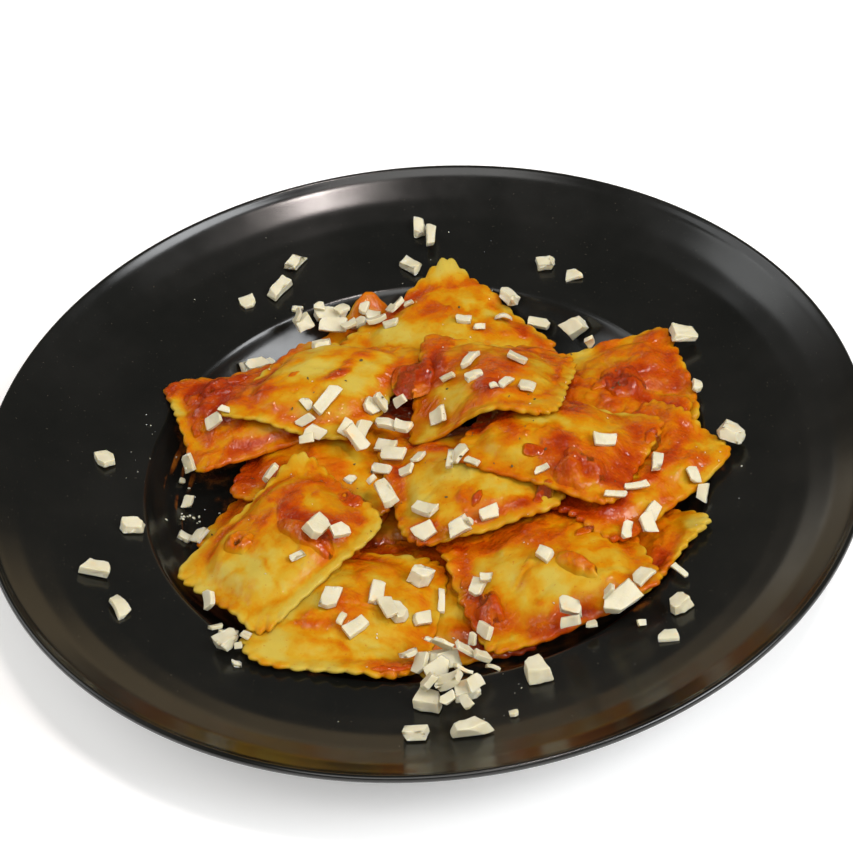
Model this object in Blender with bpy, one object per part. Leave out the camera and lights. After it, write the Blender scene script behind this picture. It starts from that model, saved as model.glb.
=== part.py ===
"""Ravioli in tomato sauce, heaped in the well of a black rimmed plate.

Run with blender --background --python part.py. Sizes below are millimetres, and MM turns them into
Blender's metres. The origin is the middle of the plate's underside, at table height, with +Z up.

The plate is turned from one profile. The food is laid piece by piece, lowest first: HEIGHTS is a map
of the highest surface so far, and every new piece sinks until it rests on that map, bending as a
sheet of cooked pasta does, so that no piece cuts another and each lies a little clear of the last.
"""

import math

import bmesh
import bpy
import numpy as np

MM = 0.001

# ---- plate -------------------------------------------------------------------------------------
PLATE_RADIUS = 140.0
PLATE_HEIGHT = 36.0
WELL_RADIUS = 91.0
WELL_EDGE_HEIGHT = 18.8
WELL_FLOOR_HEIGHT = 5.5
WELL_FLOOR_RADIUS = 72.0
WELL_WALL_CURVE = 2.5  # the power by which the wall of the well steepens as it rises
RIM_STRAIGHT = 0.16  # of the rim's rise is a straight slope, and the rest curls up to the lip
RIM_CURVE = 2.6
FOOT_RADIUS = 74.0
FOOT_WIDTH = 5.0
FOOT_HEIGHT = 1.8
FOOT_FLARE = 6.0  # how far out, and how high, the foot's outer side runs into the underside
FOOT_FLARE_HEIGHT = 3.0
FOOT_CHAMFER = 1.5
RIM_THICKNESS = 4.0
LIP_THICKNESS = 3.4
LIP_ARC = (80, -60)  # degrees from level, from the lip's upper face round to its under face
PLATE_SEGMENTS = 48

# ---- ravioli -----------------------------------------------------------------------------------
FLANGE = 2.1  # two sheets of pasta pressed together
FLUTES_PER_SIDE = 7
FLUTE_DEPTH = 0.065  # of the half width
CORNER = 0.94  # the corners are cut back to here
NET_CELLS = 6
NET_REACH = 0.85  # the square net stops here, and the fluted border goes on to 1
PILLOW_REACH = 0.74  # the foot of the filling's pillow
PILLOW_SQUARENESS = 3.6
PILLOW_FALL = 2.4  # the higher, the flatter the pillow's top
PILLOW_SHOULDER = 0.75  # the lower, the steeper its sides
CLEARANCE = 0.45  # kept between any two pieces

# name: centre x, y; turn and skew in degrees; width, depth; pillow height; stiffness;
# how far the front left, front right, back right and back left corners stand up or hang down
RAVIOLI = {
    "ravioli_middle_under": (-6, 0, 8, 0, 56, 56, 4.5, 0.8, (0, 0, 0, 0)),
    "ravioli_front_under": (1, -50, 6, 0, 56, 54, 4.5, 0.8, (0, 0, 0, 0)),
    "ravioli_left_under": (-43, -12, 52, 0, 57, 53, 5.0, 0.8, (0, 0, 0, 0)),
    "ravioli_back_left": (-14, 52, 44, 0, 57, 57, 4.0, 0.8, (0, 0, 0, 0)),
    "ravioli_right_under": (52, -37, 49, 0, 44, 56, 4.5, 0.8, (0, 0, 0, 0)),
    "ravioli_left_middle_under": (-30, 14, 70, 0, 55, 55, 5.0, 0.8, (0, 0, 0, 0)),
    "ravioli_front": (-28, -59, -14, 0, 57, 55, 6.0, 1.0, (0, 0, 0, 0)),
    "ravioli_back": (11, 60, 39, 0, 57, 57, 5.5, 1.5, (0, 0, 0, 0)),
    "ravioli_right_back": (62, 27, 5, 0, 55, 47, 5.5, 0.8, (0, 0, 0, 0)),
    "ravioli_left_lower": (-52, 33, 12, 3, 57, 45, 5.0, 1.0, (0, 0, 0, 0)),
    "ravioli_right_middle": (54, 5, -27, 0, 55, 48, 3.0, 0.6, (0, 0, 0, 0)),
    "ravioli_front_right": (34, -49, 14, 0, 59, 57, 7.0, 0.8, (0, 0, 0, 0)),
    "ravioli_right": (65, -18, 42, 0, 60, 37, 4.0, 0.8, (0, 4, 0, 0)),
    "ravioli_middle": (14, -11, 8, 0, 54, 54, 5.5, 0.6, (0, 0, 0, 0)),
    "ravioli_front_left": (-46, -32, 47, -8, 62, 46, 6.5, 1.2, (0, 0, 8, 0)),
    "ravioli_right_upper": (42, -6, -30, 0, 58, 46, 6.5, 0.8, (0, 0, 0, 0)),
    "ravioli_left_upper": (-30, 34, -20, -16, 47, 50, 6.5, 1.0, (0, 0, 7, 0)),
    "ravioli_top": (24, 23, -13, 0, 51, 47, 6.0, 0.8, (-20, 3, -3, 0)),
}

# name: centre x, y; turn in degrees; length, width; height
TOMATO = {
    "tomato_top": (3, 30, -9, 13, 17, 5.0),
    "tomato_right_back": (67, 25, 20, 13, 14, 5.5),
    "tomato_left_lower": (-65, 40, 10, 11, 11, 6.0),
    "tomato_right_upper": (47, -24, -32, 16, 11, 4.0),
    "tomato_front_right": (16, -66, -73, 13, 7, 4.0),
    "tomato_front_right_flat": (43, -59, -45, 14, 7, 3.0),
    "tomato_front_left": (-38, -36, -39, 19, 8, 3.5),
    "tomato_front_left_small": (-58, -35, -15, 8, 8, 4.0),
}

# name: centre x, y; turn in degrees; length, width; height
CHEESE = {
    "cheese_rim_right_tip": (97, -7, -14, 11, 9, 5.0),
    "cheese_rim_right": (71, -73, 35, 9, 7, 5.0),
    "cheese_rim_back": (48, 93, -9, 10, 7, 4.0),
    "cheese_rim_back_left": (-39, 106, 56, 11, 6, 4.0),
    "cheese_rim_back_left_low": (-45, 94, 49, 11, 6, 4.0),
    "cheese_rim_back_wedge": (6, 117, 85, 14, 5, 4.0),
    "cheese_rim_back_middle": (2, 100, -46, 10, 6, 4.0),
    "cheese_rim_left": (-104, -36, -18, 12, 6, 4.0),
    "cheese_rim_left_back": (-94, -16, -3, 10, 6, 4.0),
    "cheese_rim_front": (26, -93, -74, 11, 8, 6.0),
    "cheese_rim_front_low": (6, -116, 23, 13, 7, 5.0),
    "cheese_rim_front_low_left": (-10, -115, -7, 11, 5, 4.0),
    "cheese_pile_left": (-5, -101, -30, 11, 8, 6.0),
    "cheese_pile_right": (6, -103, 3, 9, 7, 5.0),
    "cheese_pile_back": (0, -88, 28, 11, 9, 6.0),
    "cheese_left_front": (-63, -71, 21, 9, 8, 5.0),
    "cheese_back_gap": (57, 65, 25, 10, 8, 6.0),
    "cheese_on_back": (34, 77, -50, 12, 7, 4.0),
    "cheese_back_left": (-28, 81, -14, 14, 7, 4.0),
    "cheese_back_left_low": (-36, 71, 15, 8, 8, 5.0),
    "cheese_back_left_far": (-56, 64, 21, 13, 5, 4.0),
    "cheese_on_front_left": (-35, -38, 44, 10, 8, 4.0),
    "cheese_middle_bar": (-13, -18, -72, 15, 6, 4.0),
    "cheese_on_middle": (8, -37, 24, 11, 7, 5.0),
    "cheese_on_front_right": (53, -74, 36, 16, 9, 3.5),
    "cheese_on_front_right_low": (39, -78, -21, 10, 7, 5.0),
    "cheese_on_front": (-5, -50, -28, 9, 8, 6.0),
    "cheese_on_front_low": (-13, -65, -60, 10, 7, 4.0),
    "cheese_on_right_back": (91, 44, 1, 12, 7, 3.5),
    "cheese_on_top": (19, 18, 15, 10, 5, 3.0),
    "cheese_on_left_upper": (-30, 51, 21, 10, 5, 3.0),
}

# ---- drape -------------------------------------------------------------------------------------
MAP_REACH = 150  # the height map covers this far each way, one cell to the millimetre
SINK_START = 0.9  # how far a piece sinks in the first round, falling to nothing in the last
ROUNDS = 160
SETTLE_ROUNDS = 20
LIFTS = 4
LAST_LIFTS = 120
BENDING = 1.0
TWISTING = 1.4
TILTING = 0.15
MOST_STRETCH = 2.2  # of the upright thickness on a steep slope
REST_SAMPLES = 6  # steps along a facet's side where it is tested against the heap
TOP_SAMPLES = 11  # steps that reach every cell of the map under a facet
RIGID_SAMPLES = 14
SLOPE_SPOTS = 9  # across a stiff piece, to find the slope that it lies on
STEEPEST = 0.9  # the slope that it is turned to at most

# ---- lumps and dice ------------------------------------------------------------------------------
LUMP_SIDES = 9
LUMP_RINGS = 3
LUMP_WAVER = 0.16  # of its radius
LUMP_BUMPS = 0.22  # of its height
LUMP_ROUNDING = 0.94  # the dome is cut this far out from the middle of a full half round
LUMP_FOOT = 0.9
DIE_FOOT = (0.78, 1.12)  # range of a corner's reach, of the half size
DIE_TOP = (0.72, 1.0)  # of the corner below it
DIE_RISE = (0.82, 1.08)

PASTA_YELLOW = (0.86, 0.55, 0.10)
TOMATO_RED = (0.45, 0.05, 0.02)
CHEESE_WHITE = (0.87, 0.83, 0.70)
PLATE_BLACK = (0.012, 0.012, 0.012)


def clear_scene():
    for thing in list(bpy.data.objects):
        bpy.data.objects.remove(thing)


def material(name, colour, roughness):
    made = bpy.data.materials.new(name)
    made.use_nodes = True
    shader = made.node_tree.nodes["Principled BSDF"]
    shader.inputs["Base Color"].default_value = (*colour, 1.0)
    shader.inputs["Roughness"].default_value = roughness
    return made


def add_solid(name, points, faces, finish):
    """A closed mesh object from points in millimetres."""
    mesh = bpy.data.meshes.new(name)
    mesh.from_pydata([tuple(float(x) * MM for x in p) for p in points], [], faces)
    mesh.materials.append(finish)
    made = bpy.data.objects.new(name, mesh)
    bpy.context.scene.collection.objects.link(made)
    mesh.shade_smooth()
    mesh.set_sharp_from_angle(angle=math.radians(50))
    return made


# ---- plate -------------------------------------------------------------------------------------
def arc(centre_r, centre_z, radius, start, end, steps):
    """Points (r, z) along an arc, its angles in degrees from +r towards +z."""
    angles = np.radians(np.linspace(start, end, steps))
    return [(centre_r + radius * math.cos(a), centre_z + radius * math.sin(a)) for a in angles]


def rim_height(r):
    """The upper face of the rim: nearly flat by the well, curving up to the lip."""
    along = (r - WELL_RADIUS) / (PLATE_RADIUS - WELL_RADIUS)
    rise = RIM_STRAIGHT * along + (1 - RIM_STRAIGHT) * along**RIM_CURVE
    return WELL_EDGE_HEIGHT + (PLATE_HEIGHT - WELL_EDGE_HEIGHT) * rise


def plate_inside():
    """(r, z) of the upper face, from the middle out to the lip's crest."""
    share = np.array([0.0, 0.35, 0.65, 0.86, 1.0])
    wall_r = WELL_FLOOR_RADIUS + (WELL_RADIUS - WELL_FLOOR_RADIUS) * share
    wall_z = WELL_FLOOR_HEIGHT + (WELL_EDGE_HEIGHT - WELL_FLOOR_HEIGHT) * share**WELL_WALL_CURVE
    rim_r = np.linspace(WELL_RADIUS + 7, PLATE_RADIUS - LIP_THICKNESS, 6)
    return [(0.0, WELL_FLOOR_HEIGHT), *zip(wall_r, wall_z), *zip(rim_r, rim_height(rim_r))]


def plate_underside():
    """(r, z) of the under face, from below the lip in to the middle, round the foot ring."""
    rim_r = np.linspace(PLATE_RADIUS - 15, WELL_RADIUS + 3, 3)
    foot_inner = FOOT_RADIUS - FOOT_WIDTH
    foot = [(FOOT_RADIUS + FOOT_FLARE, FOOT_FLARE_HEIGHT), (FOOT_RADIUS, 0.0), (foot_inner, 0.0)]
    inside = [(foot_inner - FOOT_CHAMFER, FOOT_HEIGHT), (0.0, FOOT_HEIGHT)]
    return [*zip(rim_r, rim_height(rim_r) - RIM_THICKNESS), *foot, *inside]


def plate_profile():
    """(r, z) of the whole section, over the lip, with both its ends on the axis."""
    lip_radius = LIP_THICKNESS / 2
    lip = arc(PLATE_RADIUS - lip_radius, PLATE_HEIGHT - lip_radius, lip_radius, *LIP_ARC, 4)
    return plate_inside() + lip + plate_underside()


def make_plate(finish):
    """The profile turned through a full circle, with the two ends of it on the axis."""
    profile = plate_profile()
    shell = bmesh.new()
    line = [shell.verts.new((r * MM, 0.0, z * MM)) for r, z in profile]
    edges = [shell.edges.new(pair) for pair in zip(line, line[1:])]
    bmesh.ops.spin(
        shell, geom=line + edges, cent=(0, 0, 0), axis=(0, 0, 1),
        angle=2 * math.pi, steps=PLATE_SEGMENTS, use_merge=True,
    )
    bmesh.ops.remove_doubles(shell, verts=shell.verts, dist=1e-6)
    bmesh.ops.recalc_face_normals(shell, faces=shell.faces)
    mesh = bpy.data.meshes.new("plate")
    shell.to_mesh(mesh)
    shell.free()
    mesh.materials.append(finish)
    made = bpy.data.objects.new("plate", mesh)
    bpy.context.scene.collection.objects.link(made)
    mesh.shade_smooth()
    mesh.set_sharp_from_angle(angle=math.radians(40))
    return made


# ---- the map of what is in the plate -------------------------------------------------------------
def empty_plate_heights():
    cells = np.arange(-MAP_REACH, MAP_REACH + 1)
    x, y = np.meshgrid(cells, cells, indexing="ij")
    section = np.array(plate_inside())
    return np.interp(np.hypot(x, y), section[:, 0], section[:, 1])


def cell_of(points):
    cells = np.rint(points).astype(int) + MAP_REACH
    return np.clip(cells[:, 0], 0, 2 * MAP_REACH), np.clip(cells[:, 1], 0, 2 * MAP_REACH)


def spread(heights):
    """Each cell raised to its highest neighbour, so that a piece passing an edge stays clear."""
    raised = heights.copy()
    for shift, axis in ((1, 0), (-1, 0), (1, 1), (-1, 1)):
        raised = np.maximum(raised, np.roll(heights, shift, axis))
    return raised


def raise_heights(heights, points):
    """Records an upper surface, given as points (x, y, z) closer than a cell."""
    at = cell_of(points[:, :2])
    np.maximum.at(heights, at, points[:, 2])


def facet_weights(corners, steps):
    """Rows of weights over all points, one row for each sample spread evenly over the facets."""
    shares = []
    for i in range(steps + 1):
        for j in range(steps + 1 - i):
            shares.append((i / steps, j / steps, (steps - i - j) / steps))
    shares = np.array(shares)
    count = 1 + max(max(facet) for facet in corners)
    rows = np.zeros((len(corners) * len(shares), count))
    for number, facet in enumerate(corners):
        block = slice(number * len(shares), (number + 1) * len(shares))
        for corner in range(3):
            rows[block, facet[corner]] += shares[:, corner]
    return rows


# ---- the flat pattern of a ravioli -----------------------------------------------------------------
def net_lines():
    return np.linspace(-NET_REACH, NET_REACH, NET_CELLS + 1)


def border_points():
    """(u, v) round the fluted edge, starting at the front left corner and going anticlockwise."""
    per_side = 2 * FLUTES_PER_SIDE
    ring = []
    for side in range(4):
        for step in range(per_side):
            along = -1 + 2 * step / per_side
            out = 1.0 if step % 2 == 0 else 1.0 - FLUTE_DEPTH
            if step == 0:
                along, out = -CORNER, CORNER
            turn = side * math.pi / 2
            u, v = along, -out
            ring.append((u * math.cos(turn) - v * math.sin(turn),
                         u * math.sin(turn) + v * math.cos(turn)))
    return np.array(ring)


def bridge(inner, outer):
    """Triangles between two closed rings of indices that start together and run anticlockwise."""
    triangles = []
    i = j = 0
    while i < len(inner) or j < len(outer):
        here, low = inner[i % len(inner)], outer[j % len(outer)]
        if (i + 1) * len(outer) <= (j + 1) * len(inner):
            i += 1
            triangles.append((low, inner[i % len(inner)], here))
        else:
            j += 1
            triangles.append((low, outer[j % len(outer)], here))
    return triangles


def ravioli_pattern():
    """(u, v) of the points, one face's triangles, and the border's indices in order."""
    lines = net_lines()
    across = NET_CELLS + 1
    net = np.array([(u, v) for u in lines for v in lines])

    def index(i, j):
        return i * across + j

    triangles = []
    for i in range(NET_CELLS):
        for j in range(NET_CELLS):
            a, b, c, d = index(i, j), index(i + 1, j), index(i + 1, j + 1), index(i, j + 1)
            # The diagonals run outwards, which suits the round pillow.
            if (i < NET_CELLS / 2) == (j < NET_CELLS / 2):
                triangles += [(a, b, c), (a, c, d)]
            else:
                triangles += [(a, b, d), (b, c, d)]
    last = NET_CELLS
    inner = [index(i, 0) for i in range(last)] + [index(last, j) for j in range(last)]
    inner += [index(last - i, last) for i in range(last)] + [index(0, last - j) for j in range(last)]
    border = border_points()
    outer = list(range(len(net), len(net) + len(border)))
    triangles += bridge(inner, outer)
    return np.vstack([net, border]), triangles, outer


def net_weights(pattern):
    """Weights that give any point of the pattern a height from the net's, straight on past its edge."""
    lines = net_lines()
    step = lines[1] - lines[0]
    cell = np.clip(((pattern - lines[0]) / step).astype(int), 0, NET_CELLS - 1)
    part = (pattern - lines[cell]) / step
    rows = np.zeros((len(pattern), (NET_CELLS + 1) ** 2))
    numbers = np.arange(len(pattern))
    for du in (0, 1):
        for dv in (0, 1):
            share_u = part[:, 0] if du else 1 - part[:, 0]
            share_v = part[:, 1] if dv else 1 - part[:, 1]
            rows[numbers, (cell[:, 0] + du) * (NET_CELLS + 1) + cell[:, 1] + dv] += share_u * share_v
    return rows


def give():
    """The quadratic form of a sheet's tilting, stretching and bending away from its own shape."""
    across = NET_CELLS + 1
    second = np.zeros((across - 2, across))
    first = np.zeros((across - 1, across))
    for k in range(across - 2):
        second[k, k:k + 3] = (1, -2, 1)
    for k in range(across - 1):
        first[k, k:k + 2] = (-1, 1)
    straight = np.eye(across)
    total = np.zeros((across**2, across**2))
    twist = TWISTING * np.kron(first, first)
    for rows in (np.kron(second, straight), np.kron(straight, second), twist):
        total += BENDING * rows.T @ rows
    for rows in (np.kron(first, straight), np.kron(straight, first)):
        total += TILTING * rows.T @ rows
    return total


def pillow(pattern):
    """The filling's share of its full height at each point of the pattern."""
    powers = np.abs(pattern / PILLOW_REACH) ** PILLOW_SQUARENESS
    reach = powers.sum(axis=1) ** (1 / PILLOW_SQUARENESS)
    return np.clip(1 - reach**PILLOW_FALL, 0, 1) ** PILLOW_SHOULDER


def corner_curl(pattern, curls):
    """How far the four corners lift or hang, in millimetres, fading towards the middle."""
    lift = np.zeros(len(pattern))
    for (su, sv), curl in zip(((-1, -1), (1, -1), (1, 1), (-1, 1)), curls):
        near = (1 + su * pattern[:, 0]) * (1 + sv * pattern[:, 1]) / 4
        lift += curl * near**2
    return lift


def plan_of(pattern, placing):
    x, y, turn, skew, width, depth = placing
    turn = math.radians(turn)
    lean = turn + math.radians(90 + skew)
    across = width / 2 * np.array([math.cos(turn), math.sin(turn)])
    along = depth / 2 * np.array([math.cos(lean), math.sin(lean)])
    return np.array([x, y]) + np.outer(pattern[:, 0], across) + np.outer(pattern[:, 1], along)


def lift_clear(net, floor, samples, reach):
    """One round of raising the net wherever the sheet's samples are under the floor."""
    push = np.maximum(floor - samples @ net, 0)
    weight = reach.T @ (push > 0)
    return net + samples.T @ (push / reach.sum(axis=1)) / np.maximum(weight, 1)


def settle(floor, samples, smooth, rest):
    """Net heights of a sheet that sinks on to the floor under its samples, and bends little."""
    reach = np.abs(samples)
    net = rest + (floor - samples @ rest).max()
    for number in range(ROUNDS + SETTLE_ROUNDS):
        sink = SINK_START * max(0.0, 1 - number / ROUNDS)
        net = rest + smooth @ (net - rest - sink)
        for _ in range(LIFTS):
            net = lift_clear(net, floor, samples, reach)
    for _ in range(LAST_LIFTS):
        net = lift_clear(net, floor, samples, reach)
    return net + max(0.0, (floor - samples @ net).max())


class RavioliShape:
    """What all the ravioli share: their flat pattern and how it is sampled."""

    def __init__(self):
        self.pattern, self.triangles, self.border = ravioli_pattern()
        self.to_net = net_weights(self.pattern)
        self.spots = facet_weights(self.triangles, REST_SAMPLES)
        self.fine_spots = facet_weights(self.triangles, TOP_SAMPLES)
        self.samples = self.spots @ self.to_net
        self.stiffness = give()
        lines = net_lines()
        self.net = np.array([(u, v) for u in lines for v in lines])
        self.pillow = pillow(self.pattern)

    def slope_stretch(self, net, placing):
        """How much longer the sheet's thickness stands up where it slopes."""
        across = NET_CELLS + 1
        grid = net.reshape(across, across)
        step = net_lines()[1] - net_lines()[0]
        along_u = np.gradient(grid, step * placing[4] / 2, axis=0)
        along_v = np.gradient(grid, step * placing[5] / 2, axis=1)
        stretch = np.sqrt(1 + along_u**2 + along_v**2).reshape(-1)
        return np.clip(self.to_net @ stretch, 1.0, MOST_STRETCH)


def make_ravioli(name, shape, heights, finish):
    """Lays one ravioli on the heap: its under face on the heap, its upper face a pillow above that."""
    *placing, pillow_height, stiffness, curls = RAVIOLI[name]
    plan = plan_of(shape.pattern, placing)
    floor = spread(heights)[cell_of(shape.spots @ plan)] + CLEARANCE
    smooth = np.linalg.inv(np.eye(len(shape.net)) + stiffness * shape.stiffness)
    net = settle(floor, shape.samples, smooth, corner_curl(shape.net, curls))
    under = shape.to_net @ net
    thick = (FLANGE + pillow_height * shape.pillow) * shape.slope_stretch(net, placing)
    upper = under + thick
    raise_heights(heights, shape.fine_spots @ np.column_stack([plan, upper]))
    count = len(plan)
    points = np.vstack([np.column_stack([plan, upper]), np.column_stack([plan, under])])
    faces = [tuple(f) for f in shape.triangles]
    faces += [(c + count, b + count, a + count) for a, b, c in shape.triangles]
    ring = shape.border
    for k in range(len(ring)):
        here, there = ring[k], ring[(k + 1) % len(ring)]
        faces.append((here, here + count, there + count, there))
    return add_solid(name, points, faces, finish)


def lump_pattern():
    """(u, v) of the rings of a lump, outermost first, then its middle."""
    rings = []
    for ring in range(LUMP_RINGS):
        share = 1 - ring / LUMP_RINGS
        for k in range(LUMP_SIDES):
            angle = 2 * math.pi * (k + 0.5 * (ring % 2)) / LUMP_SIDES
            rings.append((share * math.cos(angle), share * math.sin(angle)))
    return np.array(rings + [(0.0, 0.0)])


def lump_solid(length, width, height, seed):
    """A soft lump with a flat foot: points and triangles about its own middle."""
    rough = np.random.default_rng(seed)
    pattern = lump_pattern()
    outline = 1 + LUMP_WAVER * rough.uniform(-1, 1, LUMP_SIDES)
    bumps = 1 + LUMP_BUMPS * rough.uniform(-1, 1, len(pattern))
    flat = pattern * (length / 2, width / 2)
    flat[:-1] *= np.tile(outline, LUMP_RINGS)[:, None]
    dome = np.sqrt(1 - (np.hypot(*pattern.T) * LUMP_ROUNDING) ** 2) * bumps
    above = np.column_stack([flat, height * dome])
    foot = np.column_stack([flat[:LUMP_SIDES] * LUMP_FOOT, np.zeros(LUMP_SIDES)])
    middle = len(pattern) - 1
    faces = []
    for ring in range(LUMP_RINGS):
        for k in range(LUMP_SIDES):
            here = ring * LUMP_SIDES + k
            there = ring * LUMP_SIDES + (k + 1) % LUMP_SIDES
            if ring == LUMP_RINGS - 1:
                faces.append((here, there, middle))
                continue
            step = 0 if ring % 2 else -1
            left = (ring + 1) * LUMP_SIDES + (k + step + 1) % LUMP_SIDES
            right = (ring + 1) * LUMP_SIDES + (k + step + 2) % LUMP_SIDES
            faces += [(here, there, left), (there, right, left)]
    first = len(above)
    for k in range(LUMP_SIDES):
        there = (k + 1) % LUMP_SIDES
        faces += [(first + k, first + there, there), (first + k, there, k)]
    faces.append(tuple(first + k for k in reversed(range(LUMP_SIDES))))
    return np.vstack([above, foot]), faces


def die_solid(length, width, height, seed):
    """A roughly cut die: a box with its corners moved and its top smaller than its foot."""
    rough = np.random.default_rng(seed)
    corners = np.array([(-1, -1), (1, -1), (1, 1), (-1, 1)]) / 2
    foot = corners * (length, width) * rough.uniform(*DIE_FOOT, (4, 2))
    top = foot * rough.uniform(*DIE_TOP, (4, 1))
    rise = height * rough.uniform(*DIE_RISE, 4)
    rise[3] = rise[0] + rise[2] - rise[1]
    points = np.vstack([np.column_stack([foot, np.zeros(4)]), np.column_stack([top, rise])])
    faces = [(3, 2, 1, 0)] + [(k, (k + 1) % 4, (k + 1) % 4 + 4, k + 4) for k in range(4)]
    faces += [(4, 5, 6), (4, 6, 7)]
    return points, faces


def triangles_of(faces):
    return [(f[0], f[k], f[k + 1]) for f in faces for k in range(1, len(f) - 1)]


def slope_at(heights, x, y, reach):
    """The best plane through the heap near a point: its height there and its two slopes."""
    steps = np.linspace(-reach, reach, SLOPE_SPOTS)
    u, v = (grid.ravel() for grid in np.meshgrid(steps, steps))
    inside = np.hypot(u, v) <= reach
    spots = np.column_stack([u[inside] + x, v[inside] + y])
    rows = np.column_stack([np.ones(len(spots)), spots - (x, y)])
    return np.linalg.lstsq(rows, heights[cell_of(spots)], rcond=None)[0]


def lay_rigid(name, points, faces, heights, placing, finish):
    """Turns a stiff piece to lie along the heap, and lowers it until it all but touches."""
    x, y, turn = placing
    level, rise_x, rise_y = slope_at(heights, x, y, np.abs(points[:, :2]).max())
    steep = math.hypot(rise_x, rise_y)
    if steep > STEEPEST:
        rise_x, rise_y = rise_x * STEEPEST / steep, rise_y * STEEPEST / steep
    normal = np.array([-rise_x, -rise_y, 1.0])
    normal /= np.linalg.norm(normal)
    along = np.array([math.cos(math.radians(turn)), math.sin(math.radians(turn)), 0.0])
    along -= normal * along.dot(normal)
    along /= np.linalg.norm(along)
    axes = np.array([along, np.cross(normal, along), normal])
    placed = points @ axes + (x, y, level)
    samples = facet_weights(triangles_of(faces), RIGID_SAMPLES) @ placed
    floor = spread(heights)[cell_of(samples[:, :2])]
    drop = (floor - samples[:, 2]).max() + CLEARANCE
    placed[:, 2] += drop
    samples[:, 2] += drop
    raise_heights(heights, samples)
    return add_solid(name, placed, faces, finish)


def main():
    clear_scene()
    black = material("plate_glaze", PLATE_BLACK, 0.25)
    yellow = material("pasta", PASTA_YELLOW, 0.35)
    red = material("tomato", TOMATO_RED, 0.3)
    white = material("cheese", CHEESE_WHITE, 0.5)
    make_plate(black)
    heights = empty_plate_heights()
    shape = RavioliShape()
    for name in RAVIOLI:
        make_ravioli(name, shape, heights, yellow)
    for seed, (name, (x, y, turn, *size)) in enumerate(TOMATO.items()):
        points, faces = lump_solid(*size, seed)
        lay_rigid(name, points, faces, heights, (x, y, turn), red)
    for seed, (name, (x, y, turn, *size)) in enumerate(CHEESE.items()):
        points, faces = die_solid(*size, seed)
        lay_rigid(name, points, faces, heights, (x, y, turn), white)


main()
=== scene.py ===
"""Looks of a plate of ravioli: pasta, sauce, tomato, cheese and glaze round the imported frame.

Lengths are metres in the frame's own axes: the plate's foot stands on z = 0 and its near side is -Y.
Each ravioli is read from its CAD solid as a curved sheet over a square (see Sheet), and is then made
again as a fine mesh with its pillow, flutes, wrinkles and sauce. What lies on a ravioli is placed in
that square: u runs to the right and v to the far side, both from -1 to 1.
"""

import itertools
import math

import bmesh
import bpy
import numpy as np
from mathutils import Matrix, Vector
from mathutils.bvhtree import BVHTree


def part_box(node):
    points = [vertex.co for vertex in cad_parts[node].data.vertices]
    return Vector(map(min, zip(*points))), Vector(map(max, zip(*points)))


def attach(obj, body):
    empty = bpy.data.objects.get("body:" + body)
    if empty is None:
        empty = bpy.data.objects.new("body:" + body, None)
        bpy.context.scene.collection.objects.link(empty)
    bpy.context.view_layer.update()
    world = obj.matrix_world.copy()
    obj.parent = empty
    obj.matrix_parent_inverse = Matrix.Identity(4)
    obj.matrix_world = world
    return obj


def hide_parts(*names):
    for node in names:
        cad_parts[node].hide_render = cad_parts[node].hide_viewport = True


MM = 0.001
BODY = "root"

# ---- camera and stage ----
CAMERA_ELEVATION = 42.57  # degrees
CAMERA_ROLL = -5.75
CAMERA_DISTANCE = 692.2 * MM
CAMERA_AIM = (1.7 * MM, -0.8 * MM)  # from the plate's middle, at the height of its lip
FIELD = 22.0  # degrees across the frame
FLOOR_SIZE = 8.0
FLOOR_DROP = 0.2 * MM
GLOW_REACH = (1.0, 2.6)  # from the middle of the floor
GLOW = (0.20, 0.75)  # how strongly the floor glows there
SKY = (1.0, 0.94, 0.86)
SKY_STRENGTH = 0.125
# Soft boxes that face the dish: (azimuth from +X towards +Y, elevation, distance, size, watts, colour).
LIGHTS = {
    "window": (-28, 42, 2.4, (1.2, 1.2), 46, (0.96, 0.98, 1.0)),
    "lamp": (-46, 75, 2.4, (0.26, 0.26), 17, (1.0, 0.90, 0.86)),
    "front": (-100, 50, 3.0, (2.4, 1.8), 40, (1.0, 0.99, 0.97)),
    # dimmer ones, which mostly show in the glaze
    "left": (168, 28, 2.4, (1.6, 1.2), 12, (0.97, 0.99, 1.0)),
    "left_high": (150, 47, 2.4, (0.9, 0.6), 4, (0.98, 1.0, 1.0)),
    "far_panel": (107, 19, 2.4, (0.5, 0.35), 0.6, (1.0, 0.97, 0.88)),
    "far_card": (92, 12, 2.4, (2.6, 0.7), 3, (1.0, 0.72, 0.36)),
}

# ---- ravioli ----
FLUTES = 10  # to a side; the CAD outline has fewer, wider ones
FLUTE_DEPTH = 0.046  # of the half width
FLUTE_FULLNESS = 1.1  # lower makes narrower notches between rounder lobes
FLUTE_DRIFT = 0.16  # flutes to either side of even spacing
RIM = (0.84, 1.0)  # where the flutes begin and are full, of the way out
WAVER = 0.042  # of the outline
CORNER = 0.94  # where the CAD outline's corners are cut
SIDE_TURN = math.radians(10)  # from +X: the near side of a ravioli is the one that runs most nearly so
PILLOW_REACH = 0.80
PILLOW_SQUARENESS = 3.6
PILLOW_FOOT = (1.02, 0.09)  # where the pasta is pressed down round the pillow, and how wide
SPOTS = 65  # height samples across the square
SMOOTHING = 1.6  # samples
OVER, BELOW = 200 * MM, -100 * MM  # where the lines that read a solid's heights start
STEPS_IN, STEP_IN = 12, 0.985  # tries for a height past the outline, each nearer to the middle
HALF_SIDE = 28 * MM  # a typical half width, which the rings are spaced for
COLUMNS = 4 * FLUTES * 6
SQUARENESS = 10.0  # of the outline: 2 is round
INNER_SQUARENESS = 2.4
# This table and those that follow go by a node's name without its kind.
ROUNDER = {"front_left": 7.0, "front": 6.0, "middle": 6.0, "left_under": 4.0}
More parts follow.
